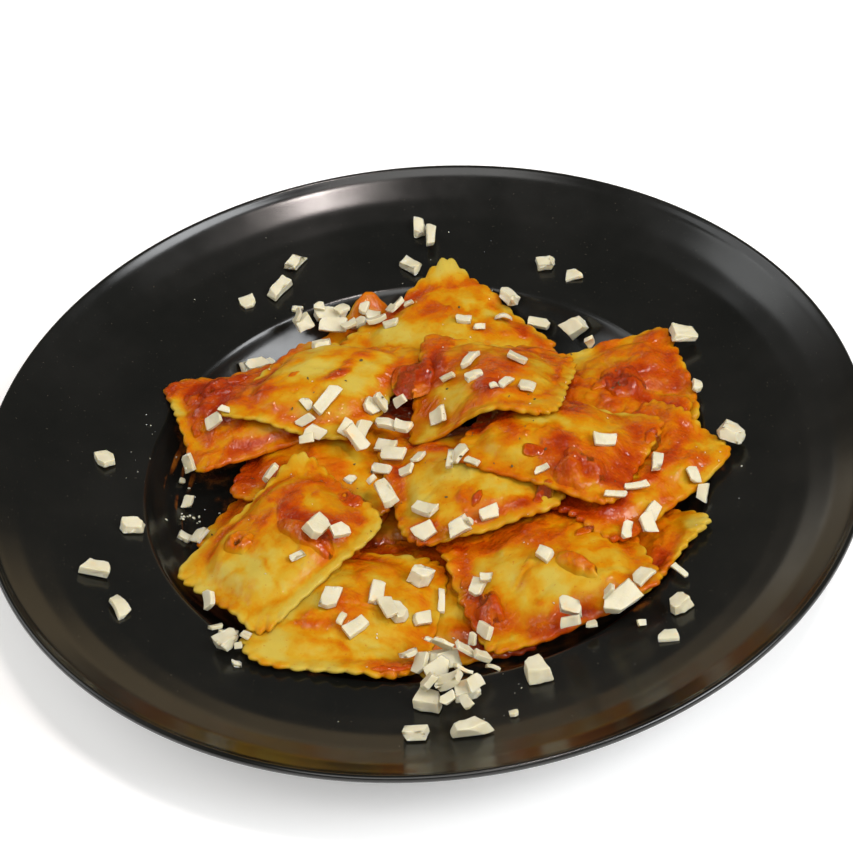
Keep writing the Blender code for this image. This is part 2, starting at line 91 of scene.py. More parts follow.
# Where an edge curls up or droops: (u, v, reach, millimetres up).
LIFTS = {
    "top": ((0.15, -1.0, 0.42, 4.5), (-0.9, -0.9, 0.3, -1.5)),
    "right": ((1.0, 0.2, 0.35, 3.5),),
    "left_lower": ((-1.0, 0.0, 0.28, 2.5), (-1.0, -0.9, 0.3, -1.0)),
    "left_upper": ((-0.3, -1.0, 0.35, 1.2), (1.0, 0.3, 0.3, 1.0)),
    "back": ((0.9, 0.95, 0.25, 2.5), (0.95, 0.2, 0.2, 1.5)),
    "right_upper": ((0.9, 0.95, 0.3, 1.5), (0.3, -1.0, 0.3, 1.2)),
    "front": ((-0.95, -0.7, 0.25, 1.2), (0.3, -1.0, 0.25, 1.0)),
    "front_left": ((-1.0, -0.3, 0.3, 1.2), (0.2, -1.0, 0.3, 1.2)),
    "front_right": ((-1.0, 0.4, 0.25, 1.5), (0.2, -1.0, 0.25, 1.2)),
    "right_back": ((0.95, 0.95, 0.3, 1.5), (0.2, 1.0, 0.25, 1.5)),
}
EDGE_WAVES = 1.2 * MM
EDGE_ROUNDING = 1.0 * MM
EDGE_RINGS = [inwards * MM for inwards in (0.0, 0.15, 0.4, 0.8, 1.3)]
RING_STEP = 0.72 * MM
UNDER_RINGS = [inwards * MM for inwards in (0.4, 1.0, 2.5, 5, 9, 14, 20)]
# What makes the relief of an upper face, in millimetres up.
FILLING, LUMPS, SMALL_LUMPS = 0.5, 1.1, 0.30
WRINKLES, FOOT, SHOULDER, CRIMP, THINNING = -0.4, -0.65, 0.45, -0.35, -0.65
FILM, PULP_FILM, PULP_CLOTS, FILM_RIPPLE = 0.25, 0.30, 0.40, 0.07

# How each ravioli is sauced, in hundredths: how red it is all over, from 0 for bare pasta to 100 for
# pulp, and dabs of more or less sauce: (u, v, half length, half width, turn in degrees, more red).
SAUCE = {
    "middle_under": (38, ()),
    "front_under": (46, ((0, -50, 40, 20, 60, -20), (-60, 90, 30, 10, 0, -10))),
    "left_under": (45, ((-50, 90, 20, 20, 0, -10),)),
    "back_left": (45, ((60, 90, 30, 30, 0, -10), (-10, -60, 20, 20, 0, 30))),
    "right_under": (36, ((20, -70, 50, 10, 20, 22), (80, -85, 30, 15, 0, -20))),
    "left_middle_under": (48, (
        (-80, 30, 20, 40, 0, 20), (-70, -80, 30, 20, 0, 25), (20, -20, 40, 12, -30, -22),
        (60, -70, 30, 10, -40, -15),
    )),
    "front": (28, (
        (-20, -75, 80, 22, 5, -20), (60, -80, 22, 14, 20, 42), (-35, -42, 30, 5, 12, 30),
        (0, 80, 25, 12, 0, 20), (10, 30, 8, 40, 0, 10), (-15, 10, 6, 40, -15, -12),
        (-31, -28, 10, 5, 10, 35), (0, -60, 50, 4, 4, 22), (85, 0, 15, 40, 0, 10),
        (35, -45, 30, 6, 10, -12), (-80, -60, 20, 20, 0, -12),
    )),
    "back": (38, (
        (-25, 30, 36, 13, -52, -32), (35, 60, 35, 20, 30, 22), (85, 88, 22, 12, -10, -40),
        (60, 5, 30, 10, -25, -22), (65, -55, 50, 8, -45, 20), (-60, 80, 25, 8, -50, -20),
        (10, 85, 25, 8, 0, 15), (75, 45, 12, 30, 10, -12),
    )),
    "right_back": (50, (
        (55, 10, 20, 50, 0, 20), (0, 85, 40, 10, 0, -22), (-20, 75, 20, 15, 0, -20),
        (75, 90, 20, 10, 0, -20), (90, 0, 6, 50, 0, 15), (20, 50, 30, 15, 20, -12),
        (65, -35, 20, 15, 0, -15), (95, -85, 10, 15, 0, -25),
    )),
    "left_lower": (56, (
        (-95, 10, 8, 50, 0, -32), (-65, 60, 15, 40, 10, 28), (-40, 10, 15, 30, 0, 35),
        (-30, -70, 50, 6, -18, -25), (-60, -50, 25, 10, -20, 15), (0, -85, 50, 6, -15, 12),
        (30, -95, 50, 5, 0, -15),
    )),
    "right_middle": (52, ((10, 70, 20, 10, 0, -25), (90, 70, 30, 15, 0, 25))),
    "front_right": (42, (
        (-55, -35, 20, 34, 10, -36), (-10, -50, 24, 20, 0, -28), (-85, 35, 18, 30, 0, 26),
        (-78, -25, 14, 30, 0, 22), (5, 35, 30, 12, -10, 15), (25, 60, 25, 14, 0, 25),
        (50, -30, 18, 24, 20, -25), (0, -93, 90, 7, 0, 28), (-40, 72, 30, 8, 0, -18),
        (15, -10, 30, 6, 30, 18), (75, 0, 20, 10, 30, 10), (-30, 15, 20, 10, 0, -10),
    )),
    "right": (52, (
        (-85, 25, 13, 40, 5, 35), (-25, -32, 50, 9, -3, 36), (0, -75, 70, 14, 0, -16),
        (-40, -60, 30, 6, 10, -10), (60, 15, 25, 20, 30, 20), (70, 40, 10, 30, 0, 12),
        (35, -25, 30, 6, 20, 25), (85, -60, 20, 20, 0, -20), (-70, -85, 25, 10, 0, 15),
    )),
    "middle": (38, (
        (-40, -10, 24, 30, -30, -20), (10, 5, 75, 10, -45, 42), (20, -55, 42, 8, -20, -22),
        (-12, -48, 10, 10, 0, 45), (-90, 0, 8, 50, 0, 12), (-60, -85, 40, 8, 0, 15),
        (55, -75, 40, 6, -15, -18), (-40, 35, 30, 8, -40, -15), (0, -80, 30, 5, 0, 12),
    )),
    "front_left": (24, (
        (-70, -10, 25, 90, 0, -16), (55, 35, 45, 30, 10, 22), (18, -10, 16, 38, 8, 55),
        (-45, -20, 4, 32, -6, 26), (-75, 10, 3, 40, 6, 18), (85, 10, 10, 50, 0, 14),
        (55, -50, 30, 20, 20, 16), (-15, 72, 35, 4, 5, 22), (0, -80, 50, 12, 10, -12),
        (75, -90, 20, 10, 0, -10), (-30, 45, 10, 20, 0, 14), (35, 75, 30, 5, -10, 18),
        (-60, -60, 5, 20, 20, 12), (15, 30, 20, 6, 30, -20), (-30, 5, 5, 20, -10, 14),
    )),
    "right_upper": (52, (
        (-15, 5, 22, 11, 10, -46), (15, -2, 20, 8, -50, -35), (-28, -60, 16, 26, -10, -46),
        (-55, -22, 32, 13, -8, 34), (-85, -20, 12, 30, 0, 25), (20, -28, 14, 14, 0, 35),
        (-10, 65, 15, 30, 0, 30), (30, 45, 20, 10, 0, 12), (40, 88, 50, 8, 0, -22),
        (75, 30, 20, 20, 0, 14), (85, -40, 10, 40, 0, 18), (-70, -70, 20, 15, 0, -12),
        (30, -85, 40, 10, 0, -10), (55, -60, 20, 16, 20, 20), (60, 10, 25, 6, 20, -15),
    )),
    "left_upper": (30, (
        (-90, 10, 8, 70, 0, 32), (-50, 50, 35, 12, 15, -22), (-10, 10, 32, 16, 30, -26),
        (25, 0, 4, 14, -20, 50), (30, 65, 30, 12, -40, 16), (25, 25, 7, 30, -12, 30),
        (-60, -55, 30, 16, 8, 34), (-10, -75, 30, 10, 0, 20), (50, 5, 10, 35, -10, -15),
        (75, 20, 8, 50, 0, 14), (60, -55, 16, 30, 0, -16), (85, -70, 15, 20, 0, 25),
        (-35, 25, 40, 4, 25, 14), (-50, -20, 30, 5, 12, 12), (0, 85, 50, 5, 0, 12),
    )),
    "top": (42, (
        (5, -10, 22, 16, 0, 28), (0, -50, 30, 12, -8, 36), (-50, -38, 34, 10, -20, -34),
        (-50, 15, 20, 16, 0, 30), (-85, 35, 12, 35, 0, 25), (70, 10, 12, 50, 0, -14),
        (85, 30, 4, 40, 0, 25), (-40, 72, 30, 6, 10, -22), (0, 92, 90, 5, 0, 16), (40, 30, 16, 25, 0, -5),
        (-75, -75, 20, 20, 0, -20), (50, -80, 40, 8, 15, -20), (20, -88, 30, 6, 0, 16),
        (20, 55, 30, 5, -10, 16),
    )),
}
DAB_SHARPNESS = 0.6
DAB_WARP = 0.10  # of the half width
TOMATO_HALO = 0.7  # more sauce round the tomato
FOOT_SAUCE = 0.22  # more at the pillow's foot
BARE_EDGE = 0.22  # less at the very edge
POOLED_SAUCE_AND_SHADE = 0.30  # more sauce deep between the ravioli: partly sauce that pools in the gaps, partly painted shade there
DEPTHS = (1.5 * MM, 9 * MM)  # under the food round it, for the least and the most of that

# ---- what is strewn ----
# Chips of cheese: (x, y, length, width, turn), in millimetres from the plate's middle and degrees.
CHEESE_CHIPS = (
    # on the rim
    (10, 110, 10, 3, 85), (58, 86, 6, 4, 0), (-56, 89, 6, 5, 15), (-39, 84, 4, 2, -10),
    (-103, 15, 6, 6, 20), (-96, -52, 9, 4, -60), (66, -85, 6, 4, -10), (59, -78, 3, 2, 10),
    (18, -109, 3, 2, -10), (-61, -78, 3, 2, 0),
    # the drift at the back left
    (-27, 75, 11, 5, -10), (-31, 81, 4, 3, 0), (-4, 80, 7, 3, 25), (0, 77, 4, 2, -15),
    (-6, 76, 6, 3, -60), (-13, 80, 6, 4, -10), (-18, 77, 6, 4, 20), (-21, 72, 6, 4, 5),
    (-12, 73, 7, 4, 15), (-7, 68, 6, 3, -10), (-16, 82, 5, 3, 70), (-23, 79, 6, 4, 40),
    (-38, 72, 5, 4, 30), (-54, 61, 9, 4, 12), (-50, 67, 4, 3, 35),
    # on the far ravioli
    (44, 70, 8, 4, -8), (18, 65, 6, 3, -5), (32, 67, 6, 3, 0), (23, 61, 5, 2, 10), (59, 49, 7, 3, 85),
    (91, 20, 6, 3, 88), (36, 73, 4, 3, 0),
    # on the top ravioli
    (18, 27, 9, 3, 60), (33, 25, 7, 4, -30), (10, 22, 6, 2, -8), (35, 9, 6, 5, -20), (28, 11, 6, 3, 50),
    (24, 9, 3, 2, 10), (6, 10, 6, 5, -5), (11, -10, 9, 5, 48), (8, -13, 7, 2, 75), (15, -15, 6, 2, -40),
    # on the left ravioli and in the hollow beside it
    (-15, 20, 6, 5, -25), (-36, 20, 5, 3, -55), (-30, 20, 12, 4, 55), (-37, 15, 7, 3, 15),
    (-34, 10, 7, 4, -25), (-37, 7, 5, 3, 0), (-67, 21, 7, 4, 5), (-63, 22, 4, 2, -20),
    (-20, 8, 10, 4, 77), (-24, 10, 6, 4, 50), (-12, 20, 7, 3, -25), (-6, 21, 5, 3, 10),
    (-11, 13, 8, 4, -15), (-6, 10, 6, 4, -30), (-21, 4, 10, 4, -50), (-12, 6, 8, 4, -25),
    (-10, 0, 8, 5, -20), (-14, -4, 7, 3, -25), (-2, -4, 7, 3, 60), (-6, -8, 6, 3, -8),
    (-17, -14, 5, 3, -80), (-49, -4, 8, 4, 12), (-24, -6, 3, 3, 40),
    # on the left wall of the well
    (-76, 9, 6, 4, 80), (-78, 4, 5, 3, 60), (-79, -11, 5, 3, -20), (-74, -13, 6, 4, 45),
    (-80, 14, 2, 2, 0),
    # on the middle and right ravioli
    (-1, -28, 9, 4, -42), (-2, -36, 7, 5, 20), (18, -33, 7, 4, 15), (12, -38, 3, 2, 0),
    (56, -15, 8, 4, 5), (36, -23, 5, 2, 10), (72, -20, 8, 3, 78), (57, -35, 9, 2, 5), (85, -28, 6, 3, 70),
    (83, -23, 6, 4, -70), (64, -30, 8, 2, 10), (68, -37, 6, 4, 60), (59, -46, 6, 3, 75),
    (66, -42, 7, 4, -75), (61, -66, 7, 5, 35), (33, -53, 6, 4, -45), (12, -58, 6, 4, 60),
    (15, -57, 4, 3, 0), (13, -74, 6, 4, -50), (9, -75, 4, 2, 60), (38, -84, 7, 3, -5), (50, -74, 5, 4, 0),
    (73, -60, 7, 2, -50), (44, -79, 4, 3, 20),
    # on the left and front ravioli
    (-69, -52, 6, 4, 85), (-63, -65, 6, 4, 20), (-67, -63, 5, 2, 30), (-58, -70, 4, 3, 70),
    (-28, -40, 6, 4, 25), (-41, -45, 5, 2, 20), (-32, -61, 8, 5, 70), (-18, -58, 9, 4, 80),
    (-15, -66, 9, 4, -75), (-5, -66, 6, 4, 20), (-25, -71, 9, 4, 35), (-29, -69, 5, 2, 60),
    (1, -58, 9, 2, 85), (-60, -74, 3, 2, 0),
    # heaped at the front
    (-7, -87, 7, 5, 60), (0, -85, 8, 6, 80), (6, -88, 7, 4, 10), (11, -90, 7, 3, 15), (-2, -92, 8, 5, 20),
    (-10, -84, 5, 3, 40), (-4, -80, 5, 2, 70), (14, -86, 5, 3, -20), (1, -100, 8, 5, -10),
    (-5, -99, 6, 5, 15), (8, -103, 7, 4, 40), (5, -96, 6, 4, 0), (0, -106, 5, 3, 20),
    (5, -109, 5, 3, -70),
)
# Soft heaps of pulp that are smaller than the lumps of tomato: (x, y, length, width, turn, height).
PULP = (
    (-70, 32, 14, 9, 60, 1.8), (-75, 40, 8, 6, 80, 1.3), (-73, 24, 8, 5, 70, 1.1),
    (15, -27, 7, 3, 60, 1.8), (-14, -86, 14, 5, 8, 0.9), (-8, -82, 8, 4, 30, 0.9),
    (60, 25, 9, 5, 30, 1.1), (34, -16, 9, 5, -20, 1.2), (36, -29, 8, 4, 30, 0.9),
    (-24, -17, 11, 9, 20, 1.0), (-60, 45, 10, 5, 20, 1.0), (72, -8, 8, 4, 60, 0.8),
    (46, -44, 8, 3, 20, 0.8), (9, -53, 6, 3, 60, 0.8), (-40, 33, 5, 2.5, 20, 0.8),
    (22, 13, 12, 5, -10, 0.8),
)
MOUND_COLUMNS = 64
MOUND_RINGS = 22
MOUND_TOP = (1.12, 0.04)  # the outermost and innermost ring, of the way out
MOUND_UNDER = (1.08, 0.1, 4)  # the same of the underside, and its rings
MOUND_WAVER = 0.30  # of its outline
MOUND_SUNK = 0.9 * MM  # its edge lies this deep in the food
TOMATO_HEIGHT = 0.82  # of each CAD lump, which slumps
TOMATO_SPREAD = (1.12, 1.20)  # along and across it
TOMATO_RISE = (1.6 * MM, 4.2 * MM)
BRIDGES = ("top",)  # the lump that lies over a gap
BRIDGE_SAG = 0.3 * MM
TOMATO_RED = {
    "front_left_small": 0.56, "front_right_flat": 0.56, "right_upper": 0.60,
    "front_left": 0.74, "front_right": 0.68, "right_back": 0.90,
}
USUAL_RED = 0.80
PULP_RED = 0.74
# Crumbs of cheese: (x, y, spread, number, least and greatest length), in millimetres.
CRUMBS = (
    (0, 0, 70, 40, 0.3, 0.8), (-77, 0, 8, 18, 0.3, 1.3), (-92, 20, 16, 12, 0.2, 0.7),
    (0, -95, 40, 20, 0.2, 0.9), (90, -20, 15, 12, 0.2, 0.7), (0, 95, 50, 16, 0.2, 0.7),
)
# Flecks of herb, in the same way.
HERBS = ((0, 0, 55, 46, 0.5, 1.6), (-30, 32, 12, 5, 0.8, 2.2), (60, 25, 14, 6, 0.6, 1.5))
# Sauce on the plate: (angle in degrees from +X, radius, length round, length out, strength).
SMEARS = (
    (164, 85, 16, 1.4, 1.0), (166, 82, 17, 1.1, 0.95), (169, 79, 15, 1.6, 0.9), (160, 84, 9, 1.3, 0.85),
    (172, 86, 9, 1.2, 0.7), (177, 82, 12, 1.2, 0.8), (184, 80, 12, 1.1, 0.7), (155, 80, 10, 2.0, 0.6),
    (285, 84, 26, 6, 0.7), (262, 83, 20, 5, 0.6), (20, 86, 12, 4, 0.5), (352, 90, 5, 3, 0.6),
    (340, 88, 12, 4, 0.4), (95, 86, 20, 6, 0.4), (135, 86, 12, 6, 0.5), (152, 92, 5, 3, 0.6),
)
BLOCK_TRIM = (0.84, 0.84, 0.70)  # what is left of each CAD block once its faces are chipped
BLOCK_WEAR = (0.35 * MM, 0.28 * MM)  # bevel and roughness
CHIP_WEAR = (0.17 * MM, 0.17 * MM)
CHIP_THICKNESS = (0.16, 0.42)  # of the chip's mean width
THINNEST_CHIP = 1.1 * MM
CHIP_TAPER, CHIP_SLANT, CHIP_CURL = 0.35, 0.3, 0.30
CHIP_SKEW, CHIP_TIP = 0.75, 0.35  # of its cut ends, in plan and upright
LONGEST_EDGES = (2.4 * MM, 1.2 * MM)  # of the cheese's mesh, as it is divided
# How strewn things lie: how far they tip from the slope under them, and the share of a length sunk in.
CHIP_LIE, CRUMB_LIE, HERB_LIE = (0.10, 0.03), (0.2, 0.1), (0.1, 0.05)
FLAKE_CORNERS = 7
FLAKE_THICKNESS = 0.12 * MM
MAP_CELL = 0.8 * MM
MAP_REACH = 150 * MM
SOFT_OVER, DEEP_OVER, NEAR_OVER = 0.9, 5.0, 6.0  # cells that the map is smoothed over, for each use
FOOD_HEIGHT = 1.5 * MM  # above the plate, where a cell counts as covered
FOOT_SMEAR = 0.55  # how much sauce the plate has round the food
# Random numbers start from these.
PULP_SEED, TOMATO_SEED, BLOCK_SEED, WEAR_SEED, STREWN_SEED = 700, 200, 300, 400, 5

# ---- plate ----
PLATE_COLUMNS = 288
PROFILE_STEP = 0.9 * MM
PROFILE_ROUNDING = 1.0  # steps

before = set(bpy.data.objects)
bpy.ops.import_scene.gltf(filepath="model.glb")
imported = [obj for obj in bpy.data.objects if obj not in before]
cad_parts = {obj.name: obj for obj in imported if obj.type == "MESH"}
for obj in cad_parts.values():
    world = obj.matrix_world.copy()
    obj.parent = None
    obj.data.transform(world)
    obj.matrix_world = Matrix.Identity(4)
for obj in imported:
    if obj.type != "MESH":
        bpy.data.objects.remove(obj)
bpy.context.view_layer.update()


# ---- small tools ----
def lattice_noise(points, seed):
    """Smooth noise from -1 to 1, with one value to each whole step along the axes. The large numbers
    scatter each corner's place into that value."""
    cell = np.floor(points).astype(np.int64)
    part = points - cell
    part = part * part * (3 - 2 * part)
    total = np.zeros(len(points))
    for corner in itertools.product((0, 1), repeat=3):
        code = ((cell + corner) * (73856093, 19349663, 83492791)).sum(axis=1) + seed * 668265263
        code = (code ^ (code >> 13)) * 1274126177 & 0x7FFFFFFF
        code = (code ^ (code >> 15)) * 1103515245 & 0x7FFFFFFF
        value = (code >> 8) % 4096 / 2047.5 - 1
        total += value * np.prod(np.where(corner, part, 1 - part), axis=1)
    return total


def fractal(points, size, seed, octaves=3):
    """Noise whose largest bumps are size across, with finer ones on them."""
    total = np.zeros(len(points))
    share = 1.0
    for octave in range(octaves):
        total += share * lattice_noise(points / size * 2**octave, seed + octave)
        share /= 2
    return total


def smoothstep(low, high, values):
    """0 up to low, 1 from high on, and a smooth rise between."""
    part = np.clip((values - low) / (high - low), 0, 1)
    return part * part * (3 - 2 * part)


def blur(values, sigma, axes):
    """Gaussian smoothing along the named axes, the ends held."""
    reach = int(3 * sigma) + 1
    weights = np.exp(-0.5 * (np.arange(-reach, reach + 1) / sigma) ** 2)
    weights /= weights.sum()
    for axis in axes:
        padding = [(reach, reach) if k == axis else (0, 0) for k in range(values.ndim)]
        padded = np.pad(values, padding, mode="edge")
        slices = [padded.take(range(k, k + values.shape[axis]), axis) for k in range(len(weights))]
        values = sum(w * part for w, part in zip(weights, slices))
    return values


def between(grid, at):
    """A grid's values at places between its cells; at counts cells along its first two axes."""
    at = np.clip(at, 0, len(grid) - 1.001)
    cell = at.astype(int)
    part = at - cell
    total = 0.0
    for di, dj in itertools.product((0, 1), repeat=2):
        share_i = part[:, 0] if di else 1 - part[:, 0]
        share_j = part[:, 1] if dj else 1 - part[:, 1]
        total = total + (grid[cell[:, 0] + di, cell[:, 1] + dj].T * (share_i * share_j)).T
    return total


def rotate(plan, degrees):
    """Places in plan turned anticlockwise about the middle."""
    cos, sin = np.cos(np.radians(degrees)), np.sin(np.radians(degrees))
    x, y = plan[..., 0], plan[..., 1]
    return np.stack([x * cos - y * sin, x * sin + y * cos], -1)


def at_level(plan, level):
    """Places in plan as points at one level."""
    return np.column_stack([plan, np.full(len(plan), level)])


def bell(values, middle, width):
    """1 at the middle, fading to both sides."""
    return np.exp(-(((values - middle) / width) ** 2))


def weld(node):
    """(points, triangles) of a CAD node, with the points that coincide made one."""
    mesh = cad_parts[node].data
    places = np.empty(len(mesh.vertices) * 3)
    mesh.vertices.foreach_get("co", places)
    points, index = np.unique(np.round(places.reshape(-1, 3), 6), axis=0, return_inverse=True)
    corners = np.empty(len(mesh.loops), int)
    mesh.loops.foreach_get("vertex_index", corners)
    return points, index.reshape(-1)[corners].reshape(-1, 3)


def walk(links, start):
    """The members of a chain in order, from start; links gives each one's neighbours."""
    path = [start]
    while len(path) < len(links):
        path.append(next(spot for spot in sorted(links[path[-1]]) if spot not in path))
    return path


def columns_round(columns, down):
    """Each column with the next one, or the next with it, which turns a face over."""
    pairs = [(k, (k + 1) % columns) for k in range(columns)]
    return [pair[::-1] for pair in pairs] if down else pairs


def bands(rings, columns, down=False):
    """Quads between rings of points that run anticlockwise and follow each other inwards, or with down,
    outwards or down. A ring is given by its first point's number."""
    pairs = columns_round(columns, down)
    return [(a + k, a + m, b + m, b + k) for a, b in zip(rings, rings[1:]) for k, m in pairs]


def fan(ring, columns, middle, down=False):
    """Triangles from a ring to the point in its middle."""
    return [(ring + k, ring + m, middle) for k, m in columns_round(columns, down)]


def joined(parts):
    """The points and faces of many (points, faces) as one."""
    faces, count = [], 0
    for points, own_faces in parts:
        faces += [[index + count for index in face] for face in own_faces]
        count += len(points)
    return np.concatenate([points for points, _ in parts]), faces


def nodes_like(start):
    """The CAD nodes of one kind, in order."""
    return sorted(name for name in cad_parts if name.startswith(start))


def short_name(node):
    """A node's name without its kind."""
    return node.split("_", 1)[1]


def add_piece(name, points, faces, finish, slot, replaced=()):
    """A smooth mesh piece on the one body, which takes the place of the CAD nodes named."""
    mesh = bpy.data.meshes.new(name)
    mesh.from_pydata(np.asarray(points).tolist(), [], [tuple(map(int, face)) for face in faces])
    mesh.shade_smooth()
    mesh.materials.append(finish)
    piece = bpy.data.objects.new(name, mesh)
    bpy.context.scene.collection.objects.link(piece)
    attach(piece, BODY)
    if replaced:
        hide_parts(*replaced)
    return piece


def add_values(piece, name, values):
    """Stores one number, or one vector, at each point of a piece, for its material."""
    values = np.asarray(values, np.float32)
    kind, field = ("FLOAT_VECTOR", "vector") if values.ndim == 2 else ("FLOAT", "value")
    piece.data.attributes.new(name, kind, "POINT").data.foreach_set(field, values.ravel())


# ---- materials ----
class Graph:
    """A material's node tree, with a short call for each kind of node used here."""

    def __init__(self, name):
        self.material = bpy.data.materials.new(name)
        self.material.use_nodes = True
        self.tree = self.material.node_tree
        self.shader = self.tree.nodes["Principled BSDF"]

    def add(self, kind, inputs, **settings):
        """A new node; inputs are plain values or the outputs of other nodes."""
        made = self.tree.nodes.new("ShaderNode" + kind)
        for key, value in settings.items():
            setattr(made, key, value)
        for key, value in inputs.items():
            self.set(made.inputs[key], value)
        return made

    def set(self, socket, value):
        """Links a node's output to a socket, or sets a plain value."""
        if isinstance(value, bpy.types.NodeSocket):
            self.tree.links.new(value, socket)
        else:
            socket.default_value = value

    def finish(self, **inputs):
        """Sets the shader's inputs; an underscore in a name stands for a space."""
        for key, value in inputs.items():
            self.set(self.shader.inputs[key.replace("_", " ")], value)
        return self.material

    def places(self):
        """Places in the object's own axes."""
        return self.add("TexCoord", {}).outputs["Object"]

    def values(self, name):
        """What add_values stored."""
        return self.add("Attribute", {}, attribute_name=name)

    def noise(self, where, scale, detail=3.0, rough=0.5, stretch=(1, 1, 1)):
        """Noise about 0.5, with scale bumps to the metre."""
        if stretch != (1, 1, 1):
            where = self.add("Mapping", {"Vector": where, "Scale": stretch}).outputs["Vector"]
        wanted = {"Vector": where, "Scale": scale, "Detail": detail, "Roughness": rough}
        return self.add("TexNoise", wanted).outputs["Fac"]

    def math(self, operation, a, b):
        return self.add("Math", {0: a, 1: b}, operation=operation).outputs[0]

    def times(self, a, b):
        return self.math("MULTIPLY", a, b)

    def about(self, value, size):
        """A noise turned into a number that swings by size about zero."""
        return self.times(self.math("SUBTRACT", value, 0.5), size)

    def total(self, *values):
        """The sum of all the values."""
        result = values[0]
        for value in values[1:]:
            result = self.math("ADD", result, value)
        return result

    def steps(self, value, low, high, start=0.0, end=1.0):
        """value's stretch from low to high turned into start to end, softly."""
        wanted = {"Value": value, "From Min": low, "From Max": high, "To Min": start, "To Max": end}
        return self.add("MapRange", wanted, interpolation_type="SMOOTHSTEP").outputs["Result"]

    def ramp(self, value, stops):
        """A colour from stops of (place, colour), the end ones held."""
        made = self.add("ValToRGB", {"Fac": value})
        elements = made.color_ramp.elements
        while len(elements) < len(stops):
            elements.new(0.5)
        for element, (place, colour) in zip(elements, stops):
            element.position = place
            element.color = (*colour, 1.0)
        return made.outputs["Color"]

    def mix(self, share, a, b):
        """Colour a with a share of colour b."""
        made = self.add("Mix", {}, data_type="RGBA")
        self.set(made.inputs["Factor"], share)
        for socket, value in zip([s for s in made.inputs if s.type == "RGBA"], (a, b)):
            self.set(socket, value if isinstance(value, bpy.types.NodeSocket) else (*value, 1.0))
        return next(s for s in made.outputs if s.type == "RGBA")

    def bump(self, height, distance, strength, under=None):
        """A normal bent by a height, on top of the normal under."""
        wanted = {"Height": height, "Distance": distance, "Strength": strength}
        if under is not None:
            wanted["Normal"] = under
        return self.add("Bump", wanted).outputs["Normal"]


PASTA_STOPS = (
    (0.00, (0.485, 0.354, 0.052)),
    (0.20, (0.498, 0.284, 0.014)),
    (0.36, (0.492, 0.190, 0.001)),
    (0.50, (0.480, 0.122, 0.0004)),
    (0.62, (0.445, 0.078, 0.0003)),
    (0.78, (0.370, 0.042, 0.0003)),
    (0.95, (0.270, 0.020, 0.0004)),
)


def pasta_material(name):
    """Cooked egg pasta under a film of tomato sauce, from bare yellow to red-brown pulp and tomato. Its
    patterns lie in the flat pasta, bent a little, and its gloss comes in small pools of wet sauce."""
    g = Graph(name)
    flat = g.values("flat").outputs["Vector"]
    # film is the sauce's redness; deep between the ravioli it also holds painted shade.
    film = g.values("film").outputs["Fac"]
    bend = g.add("TexNoise", {"Vector": flat, "Scale": 150.0, "Detail": 3.0}).outputs["Color"]
    bent = g.add("VectorMath", {0: bend, 1: (0.5, 0.5, 0.5)}, operation="SUBTRACT").outputs[0]
    bent = g.add("VectorMath", {0: bent, "Scale": 7 * MM}, operation="SCALE").outputs[0]
    where = g.add("VectorMath", {0: flat, 1: bent}, operation="ADD").outputs[0]
    patches = g.about(g.noise(where, 95, 3, 0.5), 1.30)
    streaks = g.about(g.noise(where, 110, 3, 0.5, stretch=(0.55, 1.5, 1)), 0.45)
    grain = g.noise(flat, 900, 3, 0.6)
    redness = g.total(film, patches, streaks, g.about(grain, 0.13))
    colour = g.ramp(redness, PASTA_STOPS)
    specks = g.steps(g.noise(flat, 1150, 1, 0.4), 0.70, 0.78)
    colour = g.mix(g.times(specks, 0.40), colour, (0.36, 0.030, 0.004))
    pulp = g.steps(g.total(film, patches), 0.36, 0.72)
    swell = g.bump(g.noise(where, 230, 2, 0.5), 0.9 * MM, 0.25)
    clots = g.bump(g.times(g.noise(flat, 520, 1, 0.5), pulp), 1.3 * MM, 0.55, swell)
    fine = g.bump(g.times(g.noise(flat, 1600, 1, 0.5), pulp), 0.3 * MM, 0.5, clots)
    glint = g.bump(g.times(g.noise(flat, 620, 1, 0.5), g.total(pulp, 0.3)), 1.6 * MM, 0.4)
    pools = g.steps(g.noise(flat, 330, 2, 0.5), 0.48, 0.60, 0.0, 0.58)
    coat = g.total(g.steps(pulp, 0.0, 1.0, 0.07, 0.18), g.times(pools, g.total(pulp, 0.25)))
    rough = g.steps(g.noise(flat, 210, 3, 0.6), 0.35, 0.62, 0.56, 0.42)
    rough = g.math("SUBTRACT", rough, g.times(pulp, 0.16))
    return g.finish(
        Base_Color=colour, Roughness=rough, Normal=fine, Subsurface_Weight=0.12,
        Subsurface_Radius=(1.0, 0.35, 0.08), Subsurface_Scale=1.4 * MM,
        Specular_IOR_Level=0.08, Coat_Weight=coat, Coat_Roughness=0.04, Coat_Normal=glint,
    )


def cheese_material():
    """Dry white cheese with a cream cast, crumbly faces and a few orange stains."""
    g = Graph("white_cheese")
    where = g.places()
    cloud = g.noise(where, 170, 3)
    colour = g.ramp(cloud, ((0.3, (0.590, 0.540, 0.370)), (0.7, (0.655, 0.612, 0.455))))
    stain = g.steps(g.noise(where, 120, 4, 0.6), 0.62, 0.72)
    colour = g.mix(g.times(stain, 0.35), colour, (0.86, 0.50, 0.16))
    pits = g.bump(g.noise(where, 1400, 4, 0.6), 0.35 * MM, 0.35)
    rough = g.steps(cloud, 0.3, 0.7, 0.42, 0.58)
    return g.finish(
        Base_Color=colour, Roughness=rough, Normal=pits, Subsurface_Weight=0.6,
        Subsurface_Radius=(1.0, 0.8, 0.45), Subsurface_Scale=2.4 * MM, Specular_IOR_Level=0.4,
    )


